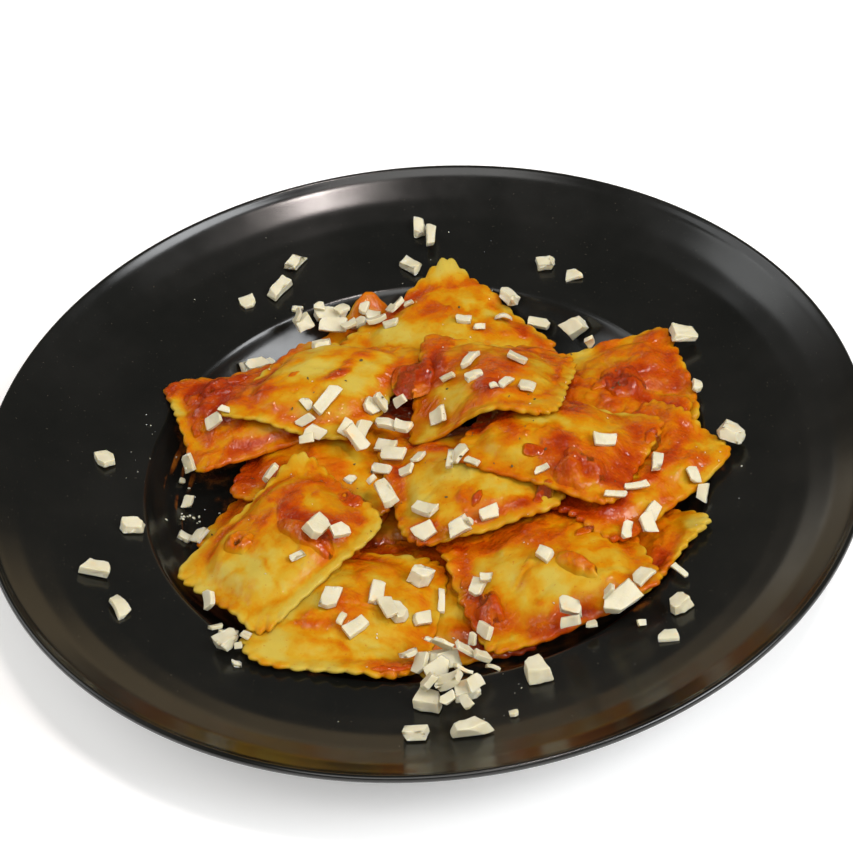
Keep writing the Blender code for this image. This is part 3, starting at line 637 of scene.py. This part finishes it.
def glaze_material():
    """Semi-gloss black glaze, a little smudged, with sauce smeared on it near the food."""
    g = Graph("black_glaze")
    where = g.places()
    sauce = g.values("sauce").outputs["Fac"]
    breakup = g.about(g.noise(where, 120, 4, 0.6), 0.7)
    wetted = g.steps(g.total(sauce, breakup), 0.50, 0.85)
    smudge = g.noise(where, 26, 4, 0.6)
    black = g.ramp(smudge, ((0.3, (0.0035, 0.004, 0.0035)), (0.75, (0.007, 0.007, 0.006))))
    smear = g.ramp(g.noise(where, 300, 3), ((0.35, (0.10, 0.018, 0.003)), (0.7, (0.36, 0.11, 0.010))))
    colour = g.mix(g.times(wetted, 0.85), black, smear)
    dust = g.steps(g.noise(where, 1500, 1, 0.3), 0.76, 0.80)
    colour = g.mix(g.times(dust, 0.10), colour, (0.35, 0.30, 0.22))
    rough = g.steps(smudge, 0.3, 0.75, 0.17, 0.27)
    bump = g.bump(g.times(wetted, g.noise(where, 420, 3)), 0.5 * MM, 0.7)
    return g.finish(Base_Color=colour, Roughness=rough, Normal=bump, Specular_IOR_Level=0.5)


def herb_material():
    """Dried leaf, from brown to straw."""
    g = Graph("dried_herb")
    colour = g.ramp(g.noise(g.places(), 900, 2), ((0.3, (0.035, 0.025, 0.008)), (0.7, (0.13, 0.10, 0.03))))
    return g.finish(Base_Color=colour, Roughness=0.6)


def floor_material():
    """Pale matt floor. It glows a little near the dish, and more where the lights don't reach, so that it
    stays pale out to its edge."""
    g = Graph("pale_floor")
    pale = [(place, (grey, grey, grey)) for place, grey in ((0.3, 0.965), (0.7, 0.985))]
    colour = g.ramp(g.noise(g.places(), 2.5, 3), pale)
    out = g.add("VectorMath", {0: g.places()}, operation="LENGTH").outputs["Value"]
    glow = g.steps(out, *GLOW_REACH, *GLOW)
    white = (1.0, 1.0, 1.0, 1.0)
    return g.finish(Base_Color=colour, Roughness=0.7, Emission_Color=white, Emission_Strength=glow)


# ---- plate ----
def plate_section():
    """(r, z) along the CAD plate's section, from the middle of its upper face, over the lip, to the
    middle of its underside."""
    points, triangles = weld("plate")
    meridian = np.flatnonzero((np.abs(points[:, 1]) < 1e-5) & (points[:, 0] > 1e-5))
    links = {index: set() for index in meridian}
    for triangle, is_in in zip(triangles, np.isin(triangles, meridian)):
        for a, b in itertools.permutations(triangle[is_in], 2):
            links[a].add(b)
    ends = [index for index in meridian if len(links[index]) == 1]
    path = walk(links, max(ends, key=lambda index: points[index, 2]))
    section = points[path][:, [0, 2]]
    return np.vstack([(0.0, section[0, 1]), section, (0.0, section[-1, 1])])


def refine(section):
    """The section at even steps, with its corners a little rounded and its ends kept."""
    lengths = np.r_[0, np.cumsum(np.hypot(*np.diff(section, axis=0).T))]
    steps = np.linspace(0, lengths[-1], int(lengths[-1] / PROFILE_STEP))
    even = np.column_stack([np.interp(steps, lengths, section[:, k]) for k in (0, 1)])
    smooth = blur(even, PROFILE_ROUNDING, (0,))
    smooth[[0, -1]] = even[[0, -1]]
    return smooth


def plate_sauce(points, food):
    """How much sauce the plate has at each point: round the food's foot, and in the smears."""
    radius = np.hypot(points[:, 0], points[:, 1])
    angle = np.degrees(np.arctan2(points[:, 1], points[:, 0]))
    sauce = FOOT_SMEAR * food.near(points)
    for at, out, length_round, length_out, strength in SMEARS:
        off = ((angle - at + 180) % 360 - 180) * np.pi / 180 * radius / (length_round * MM)
        away = (radius - out * MM) / (length_out * MM)
        sauce = np.maximum(sauce, strength * np.exp(-(off**2) * 2 - away**2 * 2))
    return sauce


def make_plate(finish):
    """The plate turned again from the CAD section, fine enough to look round."""
    section = refine(plate_section())
    inner = section[1:-1]
    turns = np.linspace(0, 2 * np.pi, PLATE_COLUMNS, endpoint=False)
    rings = np.stack([
        np.outer(inner[:, 0], np.cos(turns)), np.outer(inner[:, 0], np.sin(turns)),
        np.repeat(inner[:, 1:], PLATE_COLUMNS, axis=1),
    ], axis=-1).reshape(-1, 3)
    points = np.vstack([rings, (0, 0, section[0, 1]), (0, 0, section[-1, 1])])
    starts = range(0, len(rings), PLATE_COLUMNS)
    faces = bands(starts, PLATE_COLUMNS, down=True)
    faces += fan(starts[0], PLATE_COLUMNS, len(rings))
    faces += fan(starts[-1], PLATE_COLUMNS, len(rings) + 1, down=True)
    return add_piece("plate_glazed", points, faces, finish, "plate_glaze", ["plate"])


# ---- ravioli ----
def plan_outline(points, triangles):
    """The plan outline of a solid with an upright edge all round, anticlockwise."""
    a, b, c = (points[triangles[:, k]] for k in range(3))
    normal = np.cross(b - a, c - a)
    upright = np.abs(normal[:, 2]) < 0.02 * np.linalg.norm(normal, axis=1)
    links = {}
    for triangle in triangles[upright]:
        plans = {tuple(np.round(points[index, :2], 5)) for index in triangle}
        if len(plans) == 2:
            first, second = plans
            links.setdefault(first, set()).add(second)
            links.setdefault(second, set()).add(first)
    outline = np.array(walk(links, min(links)))
    x, y = outline.T
    area = (x * np.roll(y, -1) - y * np.roll(x, -1)).sum()
    return outline if area > 0 else outline[::-1]


def plan_axes(outline):
    """The middle and the half axes of the square that a fluted outline was drawn on. Its corners are
    the four points, evenly spaced along the outline, that together lie furthest out."""
    side = len(outline) // 4
    middle = outline.mean(axis=0)
    reach = ((outline - middle) ** 2).sum(axis=1)
    first = int(np.argmax([reach[k::side].sum() for k in range(side)]))
    corners = outline[first::side]
    lean = np.array([math.cos(SIDE_TURN), math.sin(SIDE_TURN)])
    choices = [np.roll(corners, -k, axis=0) for k in range(4)]
    p = max(choices, key=lambda c: (c[1] - c[0]).dot(lean) / np.linalg.norm(c[1] - c[0]))
    across = (p[1] + p[2] - p[0] - p[3]) / (4 * CORNER)
    along = (p[2] + p[3] - p[0] - p[1]) / (4 * CORNER)
    return middle, across, along


class Sheet:
    """A ravioli's CAD solid read as a square plan and the heights of its two faces over it."""

    def __init__(self, node):
        points, triangles = weld(node)
        self.middle, self.across, self.along = plan_axes(plan_outline(points, triangles))
        tree = BVHTree.FromPolygons(points.tolist(), triangles.tolist())
        self.upper = blur(self.heights(tree, OVER, -1), SMOOTHING, (0, 1))
        self.under = blur(self.heights(tree, BELOW, 1), SMOOTHING, (0, 1))

    def plan(self, square):
        return self.middle + np.outer(square[:, 0], self.across) + np.outer(square[:, 1], self.along)

    def heights(self, tree, start, way):
        """The heights met by lines cast up or down; past the outline, the nearest inside it."""
        line = np.linspace(-1, 1, SPOTS)
        found = np.empty((SPOTS, SPOTS))
        for i, j in itertools.product(range(SPOTS), repeat=2):
            square = np.array([[line[i], line[j]]])
            for _ in range(STEPS_IN):
                x, y = self.plan(square)[0]
                place = tree.ray_cast(Vector((x, y, start)), Vector((0, 0, way)))[0]
                if place is not None:
                    break
                square *= STEP_IN
            found[i, j] = place.z
        return found

    def lookup(self, heights, square):
        """The heights of one face at places in the square."""
        return between(heights, (square + 1) / 2 * (SPOTS - 1))


def ring_of(share, squareness, seed):
    """(u, v) round the ravioli at a share of the way out: fluted at the edge, rounder further in."""
    sides_round = np.arange(COLUMNS) * 4 / COLUMNS
    turn = sides_round * np.pi / 2
    circle = at_level(np.column_stack([np.cos(turn), np.sin(turn)]), seed * 0.37)
    uneven = fractal(circle, 0.22, seed, 1)
    side = np.floor(sides_round).astype(int)
    within = sides_round - side
    flute = 1 - np.abs(np.sin(np.pi * (FLUTES * within + FLUTE_DRIFT * uneven))) ** FLUTE_FULLNESS
    flute = flute * (0.70 + 0.60 * fractal(circle, 0.25, seed + 3, 1))
    u = 2 * within - 1
    power = INNER_SQUARENESS + (squareness - INNER_SQUARENESS) * share**2
    size = (np.abs(u) ** power + 1) ** (1 / power)
    waver = 1 + WAVER * fractal(circle, 0.6, seed + 5, 2)
    reach = share * (1 - FLUTE_DEPTH * flute * smoothstep(*RIM, share)) * waver / size
    return rotate(np.column_stack([u * reach, -reach]), side * 90), flute


def film_on(node, square, plan, flat, seed):
    """The sauce at each point: the ravioli's own share, its dabs, and more round the tomato on it."""
    base, dabs = SAUCE[short_name(node)]
    warp = np.column_stack([fractal(flat, 9 * MM, seed + k, 3) for k in (50, 60)]) * DAB_WARP
    film = np.full(len(square), base / 100)
    for u, v, long, wide, turn, amount in dabs:
        off = rotate(square + warp - (u / 100, v / 100), -turn) / (long / 100, wide / 100)
        film += amount / 100 * np.exp(-DAB_SHARPNESS * (off**2).sum(axis=1))
    for middle, radius, redness in tomato_spots():
        away = np.linalg.norm(plan - middle, axis=1) / radius + 0.30 * fractal(flat, 6 * MM, seed + 70, 2)
        film += TOMATO_HALO * (redness - 0.5) * (1 - smoothstep(0.7, 1.8, away))
    pooled = bell(pillow_reach(square), *PILLOW_FOOT) * (0.6 + 0.6 * fractal(flat, 12 * MM, seed + 80, 2))
    edge = smoothstep(0.93, 1.0, np.abs(square).max(axis=1))
    bare = edge * (0.5 + 0.6 * fractal(flat, 10 * MM, seed + 90, 2))
    return film + FOOT_SAUCE * pooled - BARE_EDGE * bare


def tomato_spots():
    """The plan middle, size and redness of each lump of tomato."""
    for node in nodes_like("tomato"):
        low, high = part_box(node)
        middle = np.array([(low.x + high.x) / 2, (low.y + high.y) / 2])
        yield middle, max(high.x - low.x, high.y - low.y) / 2, TOMATO_RED.get(short_name(node), USUAL_RED)


def pillow_reach(square):
    """1 at the foot of the pillow, less inside it."""
    powers = np.abs(square / PILLOW_REACH) ** PILLOW_SQUARENESS
    return powers.sum(axis=1) ** (1 / PILLOW_SQUARENESS)


def relief(square, flat, film, flute, share, seed):
    """The fine shape of the upper face, in metres: filling, wrinkles, crimp, creases and sauce."""
    reach = pillow_reach(square)
    pillow = 1 - smoothstep(PILLOW_REACH, 1.05, reach)
    filling = FILLING + LUMPS * fractal(flat, 15 * MM, seed, 2)
    filling = (filling + SMALL_LUMPS * fractal(flat, 7 * MM, seed + 3, 1)) * pillow
    x, y, level = flat.T
    lean = np.column_stack([x * 0.35 + y * 0.2, y - x * 0.3, level])
    ridges = 1 - np.abs(fractal(lean, 8 * MM, seed + 7, 2))
    wrinkled = smoothstep(0.1, 0.7, fractal(flat, 17 * MM, seed + 11, 2))
    wrinkles = WRINKLES * smoothstep(0.70, 1.0, ridges) * wrinkled * pillow
    foot = FOOT * bell(reach, *PILLOW_FOOT)
    shoulder = SHOULDER * bell(reach, PILLOW_REACH, 0.12)
    crimp = CRIMP * flute * smoothstep(*RIM, share)
    thin = THINNING * smoothstep(0.78, 1.0, share)
    pulp = smoothstep(0.50, 0.80, film + 0.5 * fractal(flat, 6 * MM, seed + 23, 3))
    clots = 0.5 + 0.5 * fractal(flat, 3.4 * MM, seed + 29, 2)
    sauce = FILM * np.clip(film, 0, 1) + pulp * (PULP_FILM + PULP_CLOTS * clots)
    ripple = FILM_RIPPLE * fractal(flat, 2.2 * MM, seed + 31, 2)
    fade = smoothstep(0.0, 1.2 * MM, (1 - share) * HALF_SIDE)
    return (filling + wrinkles + foot + shoulder + crimp + thin + (sauce + ripple) * fade) * MM


def make_ravioli(node, seed, finish):
    """One ravioli, ring by ring from its edge in. Returns the piece, its points and, for each of them, the
    film and the flat place."""
    sheet = Sheet(node)
    inner = np.arange(EDGE_RINGS[-1] + RING_STEP, HALF_SIDE - RING_STEP, RING_STEP)
    offsets = [*EDGE_RINGS, *inner]
    sides = []
    for is_upper, rings in ((True, offsets), (False, UNDER_RINGS)):
        for offset in rings:
            share = 1 - offset / HALF_SIDE
            square, flute = ring_of(share, ROUNDER.get(short_name(node), SQUARENESS), seed)
            sides.append(face_points(node, sheet, seed, square, flute, share, offset, is_upper))
        middle = (np.zeros((1, 2)), np.zeros(1), 0.0, HALF_SIDE)  # square, flute, share and offset
        sides.append(face_points(node, sheet, seed, *middle, is_upper))
    points, film, flat = (np.concatenate([side[k] for side in sides]) for k in range(3))
    piece = add_piece(node + "_sauced", points, ravioli_faces(len(offsets)), finish, "pasta", [node])
    add_values(piece, "flat", flat)
    return piece, points, np.column_stack([film, flat])


def face_points(node, sheet, seed, square, flute, share, offset, is_upper):
    """Points of one ring of one face, with their sauce and their place in the flat pasta."""
    plan = sheet.plan(square)
    size = (np.linalg.norm(sheet.across), np.linalg.norm(sheet.along))
    flat = at_level(square * size, seed * 0.137)
    film = film_on(node, square, plan, flat, seed)
    upper = sheet.lookup(sheet.upper, square)
    under = sheet.lookup(sheet.under, square)
    past = max(0.0, 1 - offset / EDGE_ROUNDING)
    bulge = 0.5 * math.sqrt(1 - past**2)
    level = under + (upper - under) * (0.5 + bulge if is_upper else 0.5 - bulge)
    level = level + EDGE_WAVES * fractal(flat, 10 * MM, seed + 17, 1) * smoothstep(0.66, 1.0, share)
    for u, v, reach, lift in LIFTS.get(short_name(node), ()):
        level = level + lift * MM * np.exp(-(((square - (u, v)) / reach) ** 2).sum(axis=1))
    if is_upper:
        level = level + relief(square, flat, film, flute, share, seed)
    return np.column_stack([plan, level]), film, flat


def ravioli_faces(upper_rings):
    """Faces of the upper rings from the edge in, then of the lower rings, which start at that edge."""
    middle = upper_rings * COLUMNS
    bottom = middle + 1 + len(UNDER_RINGS) * COLUMNS
    upper = range(0, middle, COLUMNS)
    lower = [0, *range(middle + 1, bottom, COLUMNS)]
    faces = bands(upper, COLUMNS) + fan(upper[-1], COLUMNS, middle)
    return faces + bands(lower, COLUMNS, down=True) + fan(lower[-1], COLUMNS, bottom, down=True)


# ---- the map of what is on the plate ----
class HeapMap:
    """The highest surface over each small cell of the plate, which strewn things are dropped on, with
    the sauce's values there."""

    def __init__(self, plate_points):
        self.count = int(2 * MAP_REACH / MAP_CELL) + 1
        self.heights = np.full((self.count, self.count), -1.0)
        self.values = np.zeros((self.count, self.count, 4))
        self.add(plate_points)
        self.fill()
        self.bare = self.heights.copy()

    def cells(self, points):
        at = np.rint((points[:, :2] + MAP_REACH) / MAP_CELL).astype(int)
        return tuple(np.clip(at, 0, self.count - 1).T)

    def add(self, points, values=None):
        """Raises the map to the points; values are the film and the flat place at each."""
        cells = self.cells(points)
        np.maximum.at(self.heights, cells, points[:, 2])
        if values is not None:
            highest = points[:, 2] >= self.heights[cells]
            self.values[cells[0][highest], cells[1][highest]] = values[highest]

    def fill(self):
        """Cells that no point fell in take their neighbours' height."""
        for shift, axis in ((1, 0), (-1, 0), (1, 1), (-1, 1)) * 3:
            empty = self.heights < 0
            self.heights = np.where(empty, np.roll(self.heights, shift, axis), self.heights)
            self.values = np.where(empty[..., None], np.roll(self.values, shift, axis), self.values)

    def settle(self):
        """Smooths a copy of the heights, for soft things to lie on."""
        self.soft = blur(self.heights, SOFT_OVER, (0, 1))

    def lookup(self, grid, plan):
        """A grid's values at places on the plate."""
        return between(grid, (plan + MAP_REACH) / MAP_CELL)

    def depth(self, points):
        """How far each point lies below the food round it, from 0 to 1."""
        around = blur(self.heights, DEEP_OVER, (0, 1))
        return smoothstep(*DEPTHS, self.lookup(around, points[:, :2]) - points[:, 2])

    def near(self, points):
        """How near each point is to the food, from 0 to 1."""
        covered = blur((self.heights > self.bare + FOOD_HEIGHT).astype(float), NEAR_OVER, (0, 1))
        return smoothstep(0.05, 0.6, covered[self.cells(points)])

    def slope(self, x, y, reach):
        """The normal of the best plane through the heap near a place."""
        steps = np.linspace(-reach, reach, 5)
        u, v = (grid.ravel() for grid in np.meshgrid(steps, steps))
        rows = np.column_stack([np.ones(len(u)), u, v])
        levels = self.heights[self.cells(np.column_stack([u + x, v + y]))]
        rise = np.linalg.lstsq(rows, levels, rcond=None)[0]
        return Vector((-rise[1], -rise[2], 1.0)).normalized()

    def drop(self, points, x, y, normal, spin, sink):
        """Points of a small thing laid along the heap at (x, y), sunk a little into it."""
        turn = Vector((0, 0, 1)).rotation_difference(normal).to_matrix() @ Matrix.Rotation(spin, 3, "Z")
        placed = points @ np.array(turn).T + (x, y, 0)
        placed[:, 2] += (self.heights[self.cells(placed)] - placed[:, 2]).max() - sink
        return placed


# ---- cheese ----
def cut(shape, place, normal):
    """Cuts everything beyond a plane off a closed bmesh and closes the cut."""
    everything = shape.verts[:] + shape.edges[:] + shape.faces[:]
    found = bmesh.ops.bisect_plane(
        shape, geom=everything, plane_co=place, plane_no=normal, clear_outer=True,
    )
    edges = [g for g in found["geom_cut"] if isinstance(g, bmesh.types.BMEdge)]
    if len(edges) > 2:
        bmesh.ops.holes_fill(shape, edges=edges)


def crumble(shape, seed, bevel, roughness):
    """Rounds a bmesh's edges, divides it and makes its faces uneven. Returns its points and faces, and
    frees it."""
    shape.verts.index_update()
    bmesh.ops.bevel(
        shape, geom=shape.edges[:], affect="EDGES", offset=bevel, segments=2, profile=0.6,
        clamp_overlap=True,
    )
    bmesh.ops.triangulate(shape, faces=shape.faces[:])
    for longest in LONGEST_EDGES:
        long = [edge for edge in shape.edges if edge.calc_length() > longest]
        bmesh.ops.subdivide_edges(shape, edges=long, cuts=1, use_grid_fill=True)
        bmesh.ops.triangulate(shape, faces=shape.faces[:])
    shape.normal_update()
    points = np.array([v.co for v in shape.verts])
    normals = np.array([v.normal for v in shape.verts])
    points = points + normals * (fractal(points + seed * 0.031, 2.6 * MM, seed, 3) * roughness)[:, None]
    faces = [[v.index for v in face.verts] for face in shape.faces]
    shape.free()
    return points, faces


def chip(rough, length, width):
    """A sliver off a block of cheese: a thin slab with ends cut askew."""
    thick = max(rough.uniform(*CHIP_THICKNESS) * math.sqrt(length * width), THINNEST_CHIP)
    shape = bmesh.new()
    bmesh.ops.create_cube(shape, size=1.0)
    taper = rough.uniform(0.0, CHIP_TAPER) * rough.choice((-1, 1))
    slant = rough.uniform(-CHIP_SLANT, CHIP_SLANT, 2) * thick
    for vertex in shape.verts:
        narrow = 1 - taper * vertex.co.x
        x, y, z = vertex.co
        vertex.co = Vector((x * length + z * slant[0], y * width * narrow + z * slant[1], z * thick))
    for end in (-1, 1, rough.choice((-1, 1))):
        angle = rough.uniform(-CHIP_SKEW, CHIP_SKEW)
        normal = Vector((end * math.cos(angle), math.sin(angle), rough.uniform(-CHIP_TIP, CHIP_TIP)))
        reach = 0.5 * math.hypot(length * math.cos(angle), width * math.sin(angle))
        cut(shape, normal * reach * rough.uniform(0.75, 1.0), normal)
    points, faces = crumble(shape, int(rough.integers(1, 10**6)), *CHIP_WEAR)
    points[:, 2] += rough.normal(0, CHIP_CURL) * points[:, 0] ** 2 / length
    return points, faces


def make_cheese_block(node, seed, finish):
    """A larger bit, from its CAD solid: a few corners broken off, edges worn, faces uneven."""
    points, triangles = weld(node)
    rough = np.random.default_rng(seed)
    foot = np.append(points.mean(axis=0)[:2], points[:, 2].min())
    shape = bmesh.new()
    verts = [shape.verts.new((p - foot) * BLOCK_TRIM) for p in points]
    for triangle in triangles:
        shape.faces.new([verts[index] for index in triangle])
    bmesh.ops.dissolve_limit(shape, angle_limit=math.radians(3), verts=shape.verts, edges=shape.edges)
    centre = sum((v.co for v in shape.verts), Vector()) / len(shape.verts)
    corners = [v.co.copy() for v in shape.verts]
    for pick in rough.choice(len(corners), rough.integers(2, 4), replace=False):
        way = corners[pick] - centre
        normal = (way.normalized() + Vector(rough.normal(0, 0.25, 3))).normalized()
        cut(shape, centre + way * rough.uniform(0.55, 0.85), normal)
    placed, faces = crumble(shape, seed + WEAR_SEED, *BLOCK_WEAR)
    placed += foot
    add_piece(node + "_cut", placed, faces, finish, "cheese", [node])
    return placed


def strewn_places(rough, clusters):
    """(x, y, length, width, turn) of all that a table of clusters gives."""
    for x, y, spread, count, smallest, longest in clusters:
        for _ in range(count):
            off = rough.normal(0, 1, 2) * spread / 2
            length = rough.uniform(smallest, longest)
            yield x + off[0], y + off[1], length, length * rough.uniform(0.55, 0.9), rough.uniform(0, 360)


def strew(name, places, shape_of, rough, heap, finish, slot, tilt, sink):
    """One piece of joined small things, each dropped on what lies there already."""
    parts = []
    for x, y, length, width, turn in places:
        own, faces = shape_of(rough, length * MM, width * MM)
        normal = heap.slope(x * MM, y * MM, max(length * 0.5, 1.2) * MM)
        normal = (normal + Vector(rough.normal(0, tilt, 3))).normalized()
        placed = heap.drop(own, x * MM, y * MM, normal, math.radians(turn), sink * length * MM)
        heap.add(placed)
        parts.append((placed, faces))
    add_piece(name, *joined(parts), finish, slot)


# ---- tomato and pulp ----
def blob(rough, length, width):
    """A soft uneven lump, wider than high."""
    shape = bmesh.new()
    bmesh.ops.create_icosphere(shape, subdivisions=2, radius=0.5)
    points = np.array([v.co for v in shape.verts])
    faces = [[v.index for v in face.verts] for face in shape.faces]
    shape.free()
    seed = int(rough.integers(1, 10**6))
    points = points * (1 + 0.30 * fractal(points + seed * 0.01, 0.5, seed, 3))[:, None]
    return points * (length, width, length * rough.uniform(0.35, 0.5)), faces


def flake(rough, length, width):
    """A thin torn flake of herb."""
    corners = range(FLAKE_CORNERS)
    turns = np.linspace(0, 2 * np.pi, FLAKE_CORNERS, endpoint=False)
    reach = rough.uniform(0.3, 0.5, FLAKE_CORNERS) * length
    curl = rough.normal(0, 0.04, FLAKE_CORNERS) * length
    rim = np.column_stack([reach * np.cos(turns), reach * 0.7 * width / length * np.sin(turns), curl])
    points = np.vstack([rim, rim - (0, 0, FLAKE_THICKNESS)])
    lower = [k + FLAKE_CORNERS for k in corners]
    faces = [[*corners], lower[::-1]]
    faces += [[k, lower[k], lower[(k + 1) % FLAKE_CORNERS], (k + 1) % FLAKE_CORNERS] for k in corners]
    return points, faces


def mound(heap, place, size, turn, height, seed, least=0.0):
    """(points, faces, how far out each point is) of a heap of pulp that lies on the food and thins out
    to nothing at its edge. It bridges gaps in the food that are lower than least."""
    around = np.linspace(0, 2 * np.pi, MOUND_COLUMNS, endpoint=False)
    circle = at_level(np.column_stack([np.cos(around), np.sin(around)]), seed * 0.1)
    outline = 1 + MOUND_WAVER * fractal(circle, 0.9, seed, 2)
    outs = np.r_[np.linspace(*MOUND_TOP, MOUND_RINGS), np.linspace(*MOUND_UNDER)]
    local = circle[None, :, :2] * (outline * outs[:, None])[:, :, None] * np.array(size) / 2
    plan = (rotate(local, turn) + place).reshape(-1, 2)
    away = np.repeat(outs, MOUND_COLUMNS)
    is_top = np.arange(len(plan)) < MOUND_RINGS * MOUND_COLUMNS
    spot = at_level(plan, seed * 0.01)
    lumps = 0.85 + 0.55 * fractal(spot, 5.5 * MM, seed + 3, 1) + 0.22 * fractal(spot, 2.2 * MM, seed + 5, 2)
    rise = height * np.clip(1 - away**2.2, 0, 1) ** 0.75 * lumps
    rise = np.where(is_top, rise - MOUND_SUNK * smoothstep(0.80, MOUND_TOP[0], away), -MOUND_SUNK)
    points = np.column_stack([plan, np.maximum(heap.lookup(heap.soft, plan), least) + rise])
    upper = range(0, MOUND_RINGS * MOUND_COLUMNS, MOUND_COLUMNS)
    lower = [0, *range(upper.stop, len(points), MOUND_COLUMNS)]
    faces = bands(upper, MOUND_COLUMNS) + bands(lower, MOUND_COLUMNS, down=True)
    faces.append(tuple(upper[-1] + k for k in range(MOUND_COLUMNS)))
    faces.append(tuple(lower[-1] + k for k in reversed(range(MOUND_COLUMNS))))
    return points, faces, away


def make_tomato(node, seed, heap, finish):
    """A lump of cooked tomato that has slumped where its CAD solid lies."""
    points, _ = weld(node)
    middle = points.mean(axis=0)
    spread = points[:, :2] - middle[:2]
    ways = np.linalg.eigh(spread.T @ spread)[1].T[::-1]
    size = [np.ptp(spread @ way) * share for way, share in zip(ways, TOMATO_SPREAD)]
    height = np.clip(points[:, 2].max() - heap.lookup(heap.soft, middle[None, :2])[0], *TOMATO_RISE)
    turn = math.degrees(math.atan2(ways[0, 1], ways[0, 0]))
    least = points[:, 2].min() - BRIDGE_SAG if short_name(node) in BRIDGES else 0.0
    placed, faces, away = mound(heap, middle[:2], size, turn, height * TOMATO_HEIGHT, seed, least)
    piece = add_piece(node + "_soft", placed, faces, finish, "tomato", [node])
    add_pulp(piece, heap, placed, away, TOMATO_RED.get(short_name(node), USUAL_RED))
    return placed


def make_pulp(heap, finish):
    """Smaller heaps of pulp, joined in one piece."""
    parts, aways = [], []
    for seed, (x, y, length, width, turn, height) in enumerate(PULP):
        size = (length * MM, width * MM)
        placed, faces, away = mound(heap, (x * MM, y * MM), size, turn, height * MM, seed + PULP_SEED)
        heap.add(placed)
        parts.append((placed, faces))
        aways.append(away)
    points, faces = joined(parts)
    piece = add_piece("pulp_heaps", points, faces, finish, "tomato")
    add_pulp(piece, heap, points, np.concatenate(aways), PULP_RED)


def add_pulp(piece, heap, points, away, redness):
    """The material's values for pulp: those of the sauce round it at the edge, redder further in."""
    core = 1 - smoothstep(0.50, 1.08, away)
    under = heap.lookup(heap.values, points[:, :2])
    add_values(piece, "film", under[:, 0] + (redness - under[:, 0]) * core)
    add_values(piece, "flat", under[:, 1:])


# ---- stage ----
def make_floor(finish):
    """A flat square that reaches past what the camera sees."""
    half = FLOOR_SIZE / 2
    corners = [(x * half, y * half, -FLOOR_DROP) for x, y in ((-1, -1), (1, -1), (1, 1), (-1, 1))]
    mesh = bpy.data.meshes.new("floor")
    mesh.from_pydata(corners, [], [(0, 1, 2, 3)])
    mesh.materials.append(finish)
    floor = bpy.data.objects.new("floor", mesh)
    bpy.context.scene.collection.objects.link(floor)


def make_light(name, azimuth, elevation, distance, size, power, colour):
    light = bpy.data.lights.new(name, "AREA")
    light.shape = "RECTANGLE"
    light.size, light.size_y = size
    light.energy = power
    light.color = colour
    lamp = bpy.data.objects.new(name, light)
    around, above = math.radians(azimuth), math.radians(elevation)
    way = Vector((math.cos(around) * math.cos(above), math.sin(around) * math.cos(above), math.sin(above)))
    lamp.location = way * distance
    lamp.rotation_euler = way.to_track_quat("Z", "Y").to_euler()
    bpy.context.scene.collection.objects.link(lamp)


def make_surroundings():
    for name, row in LIGHTS.items():
        make_light(name, *row)
    world = bpy.data.worlds.new("studio")
    world.use_nodes = True
    background = world.node_tree.nodes["Background"]
    background.inputs["Color"].default_value = (*SKY, 1.0)
    background.inputs["Strength"].default_value = SKY_STRENGTH
    bpy.context.scene.world = world
    bpy.context.scene.view_settings.view_transform = "Standard"


def make_camera():
    """A camera on the near side, aimed close to the plate's middle and rolled a little."""
    low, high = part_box("plate")
    aim = Vector(((low.x + high.x) / 2 + CAMERA_AIM[0], (low.y + high.y) / 2 + CAMERA_AIM[1], high.z))
    above, roll = math.radians(CAMERA_ELEVATION), math.radians(CAMERA_ROLL)
    back = Vector((0, -math.cos(above), math.sin(above)))
    right = Vector((1, 0, 0))
    up = back.cross(right)
    tilted_right = right * math.cos(roll) + up * math.sin(roll)
    tilted_up = up * math.cos(roll) - right * math.sin(roll)
    data = bpy.data.cameras.new("camera")
    data.angle = math.radians(FIELD)
    camera = bpy.data.objects.new("camera", data)
    camera.matrix_world = Matrix.Translation(aim + back * CAMERA_DISTANCE) @ Matrix(
        (tilted_right, tilted_up, back)
    ).transposed().to_4x4()
    bpy.context.scene.collection.objects.link(camera)
    bpy.context.scene.camera = camera


# ---- the dish ----
def main():
    make_camera()
    make_surroundings()
    make_floor(floor_material())
    pasta, tomato, cheese = pasta_material("pasta_and_sauce"), pasta_material("tomato"), cheese_material()
    plate = make_plate(glaze_material())
    plate_points = np.array([v.co for v in plate.data.vertices])
    heap = HeapMap(plate_points[: len(plate_points) * 3 // 5])  # the upper face's, and the lip's
    ravioli = [make_ravioli(node, 10 * seed + 1, pasta) for seed, node in enumerate(nodes_like("ravioli"))]
    for _, points, _ in ravioli:
        heap.add(points)
    for piece, points, values in ravioli:
        # Painted shade, and partly real pooled sauce: a ravioli grows redder and darker where it lies deep
        # below the food round it, and the pulp heaped there takes this up.
        values[:, 0] += POOLED_SAUCE_AND_SHADE * heap.depth(points)
        add_values(piece, "film", values[:, 0])
        heap.add(points, values)
    heap.fill()
    heap.settle()
    for seed, node in enumerate(nodes_like("tomato")):
        heap.add(make_tomato(node, seed + TOMATO_SEED, heap, tomato))
    make_pulp(heap, tomato)
    add_values(plate, "sauce", plate_sauce(plate_points, heap))
    rough = np.random.default_rng(STREWN_SEED)
    for seed, node in enumerate(nodes_like("cheese")):
        heap.add(make_cheese_block(node, seed + BLOCK_SEED, cheese))
    strew("cheese_chips", CHEESE_CHIPS, chip, rough, heap, cheese, "cheese", *CHIP_LIE)
    strew("cheese_crumbs", strewn_places(rough, CRUMBS), blob, rough, heap, cheese, "cheese", *CRUMB_LIE)
    herb = herb_material()
    strew("herb_flakes", strewn_places(rough, HERBS), flake, rough, heap, herb, "tomato", *HERB_LIE)


main()
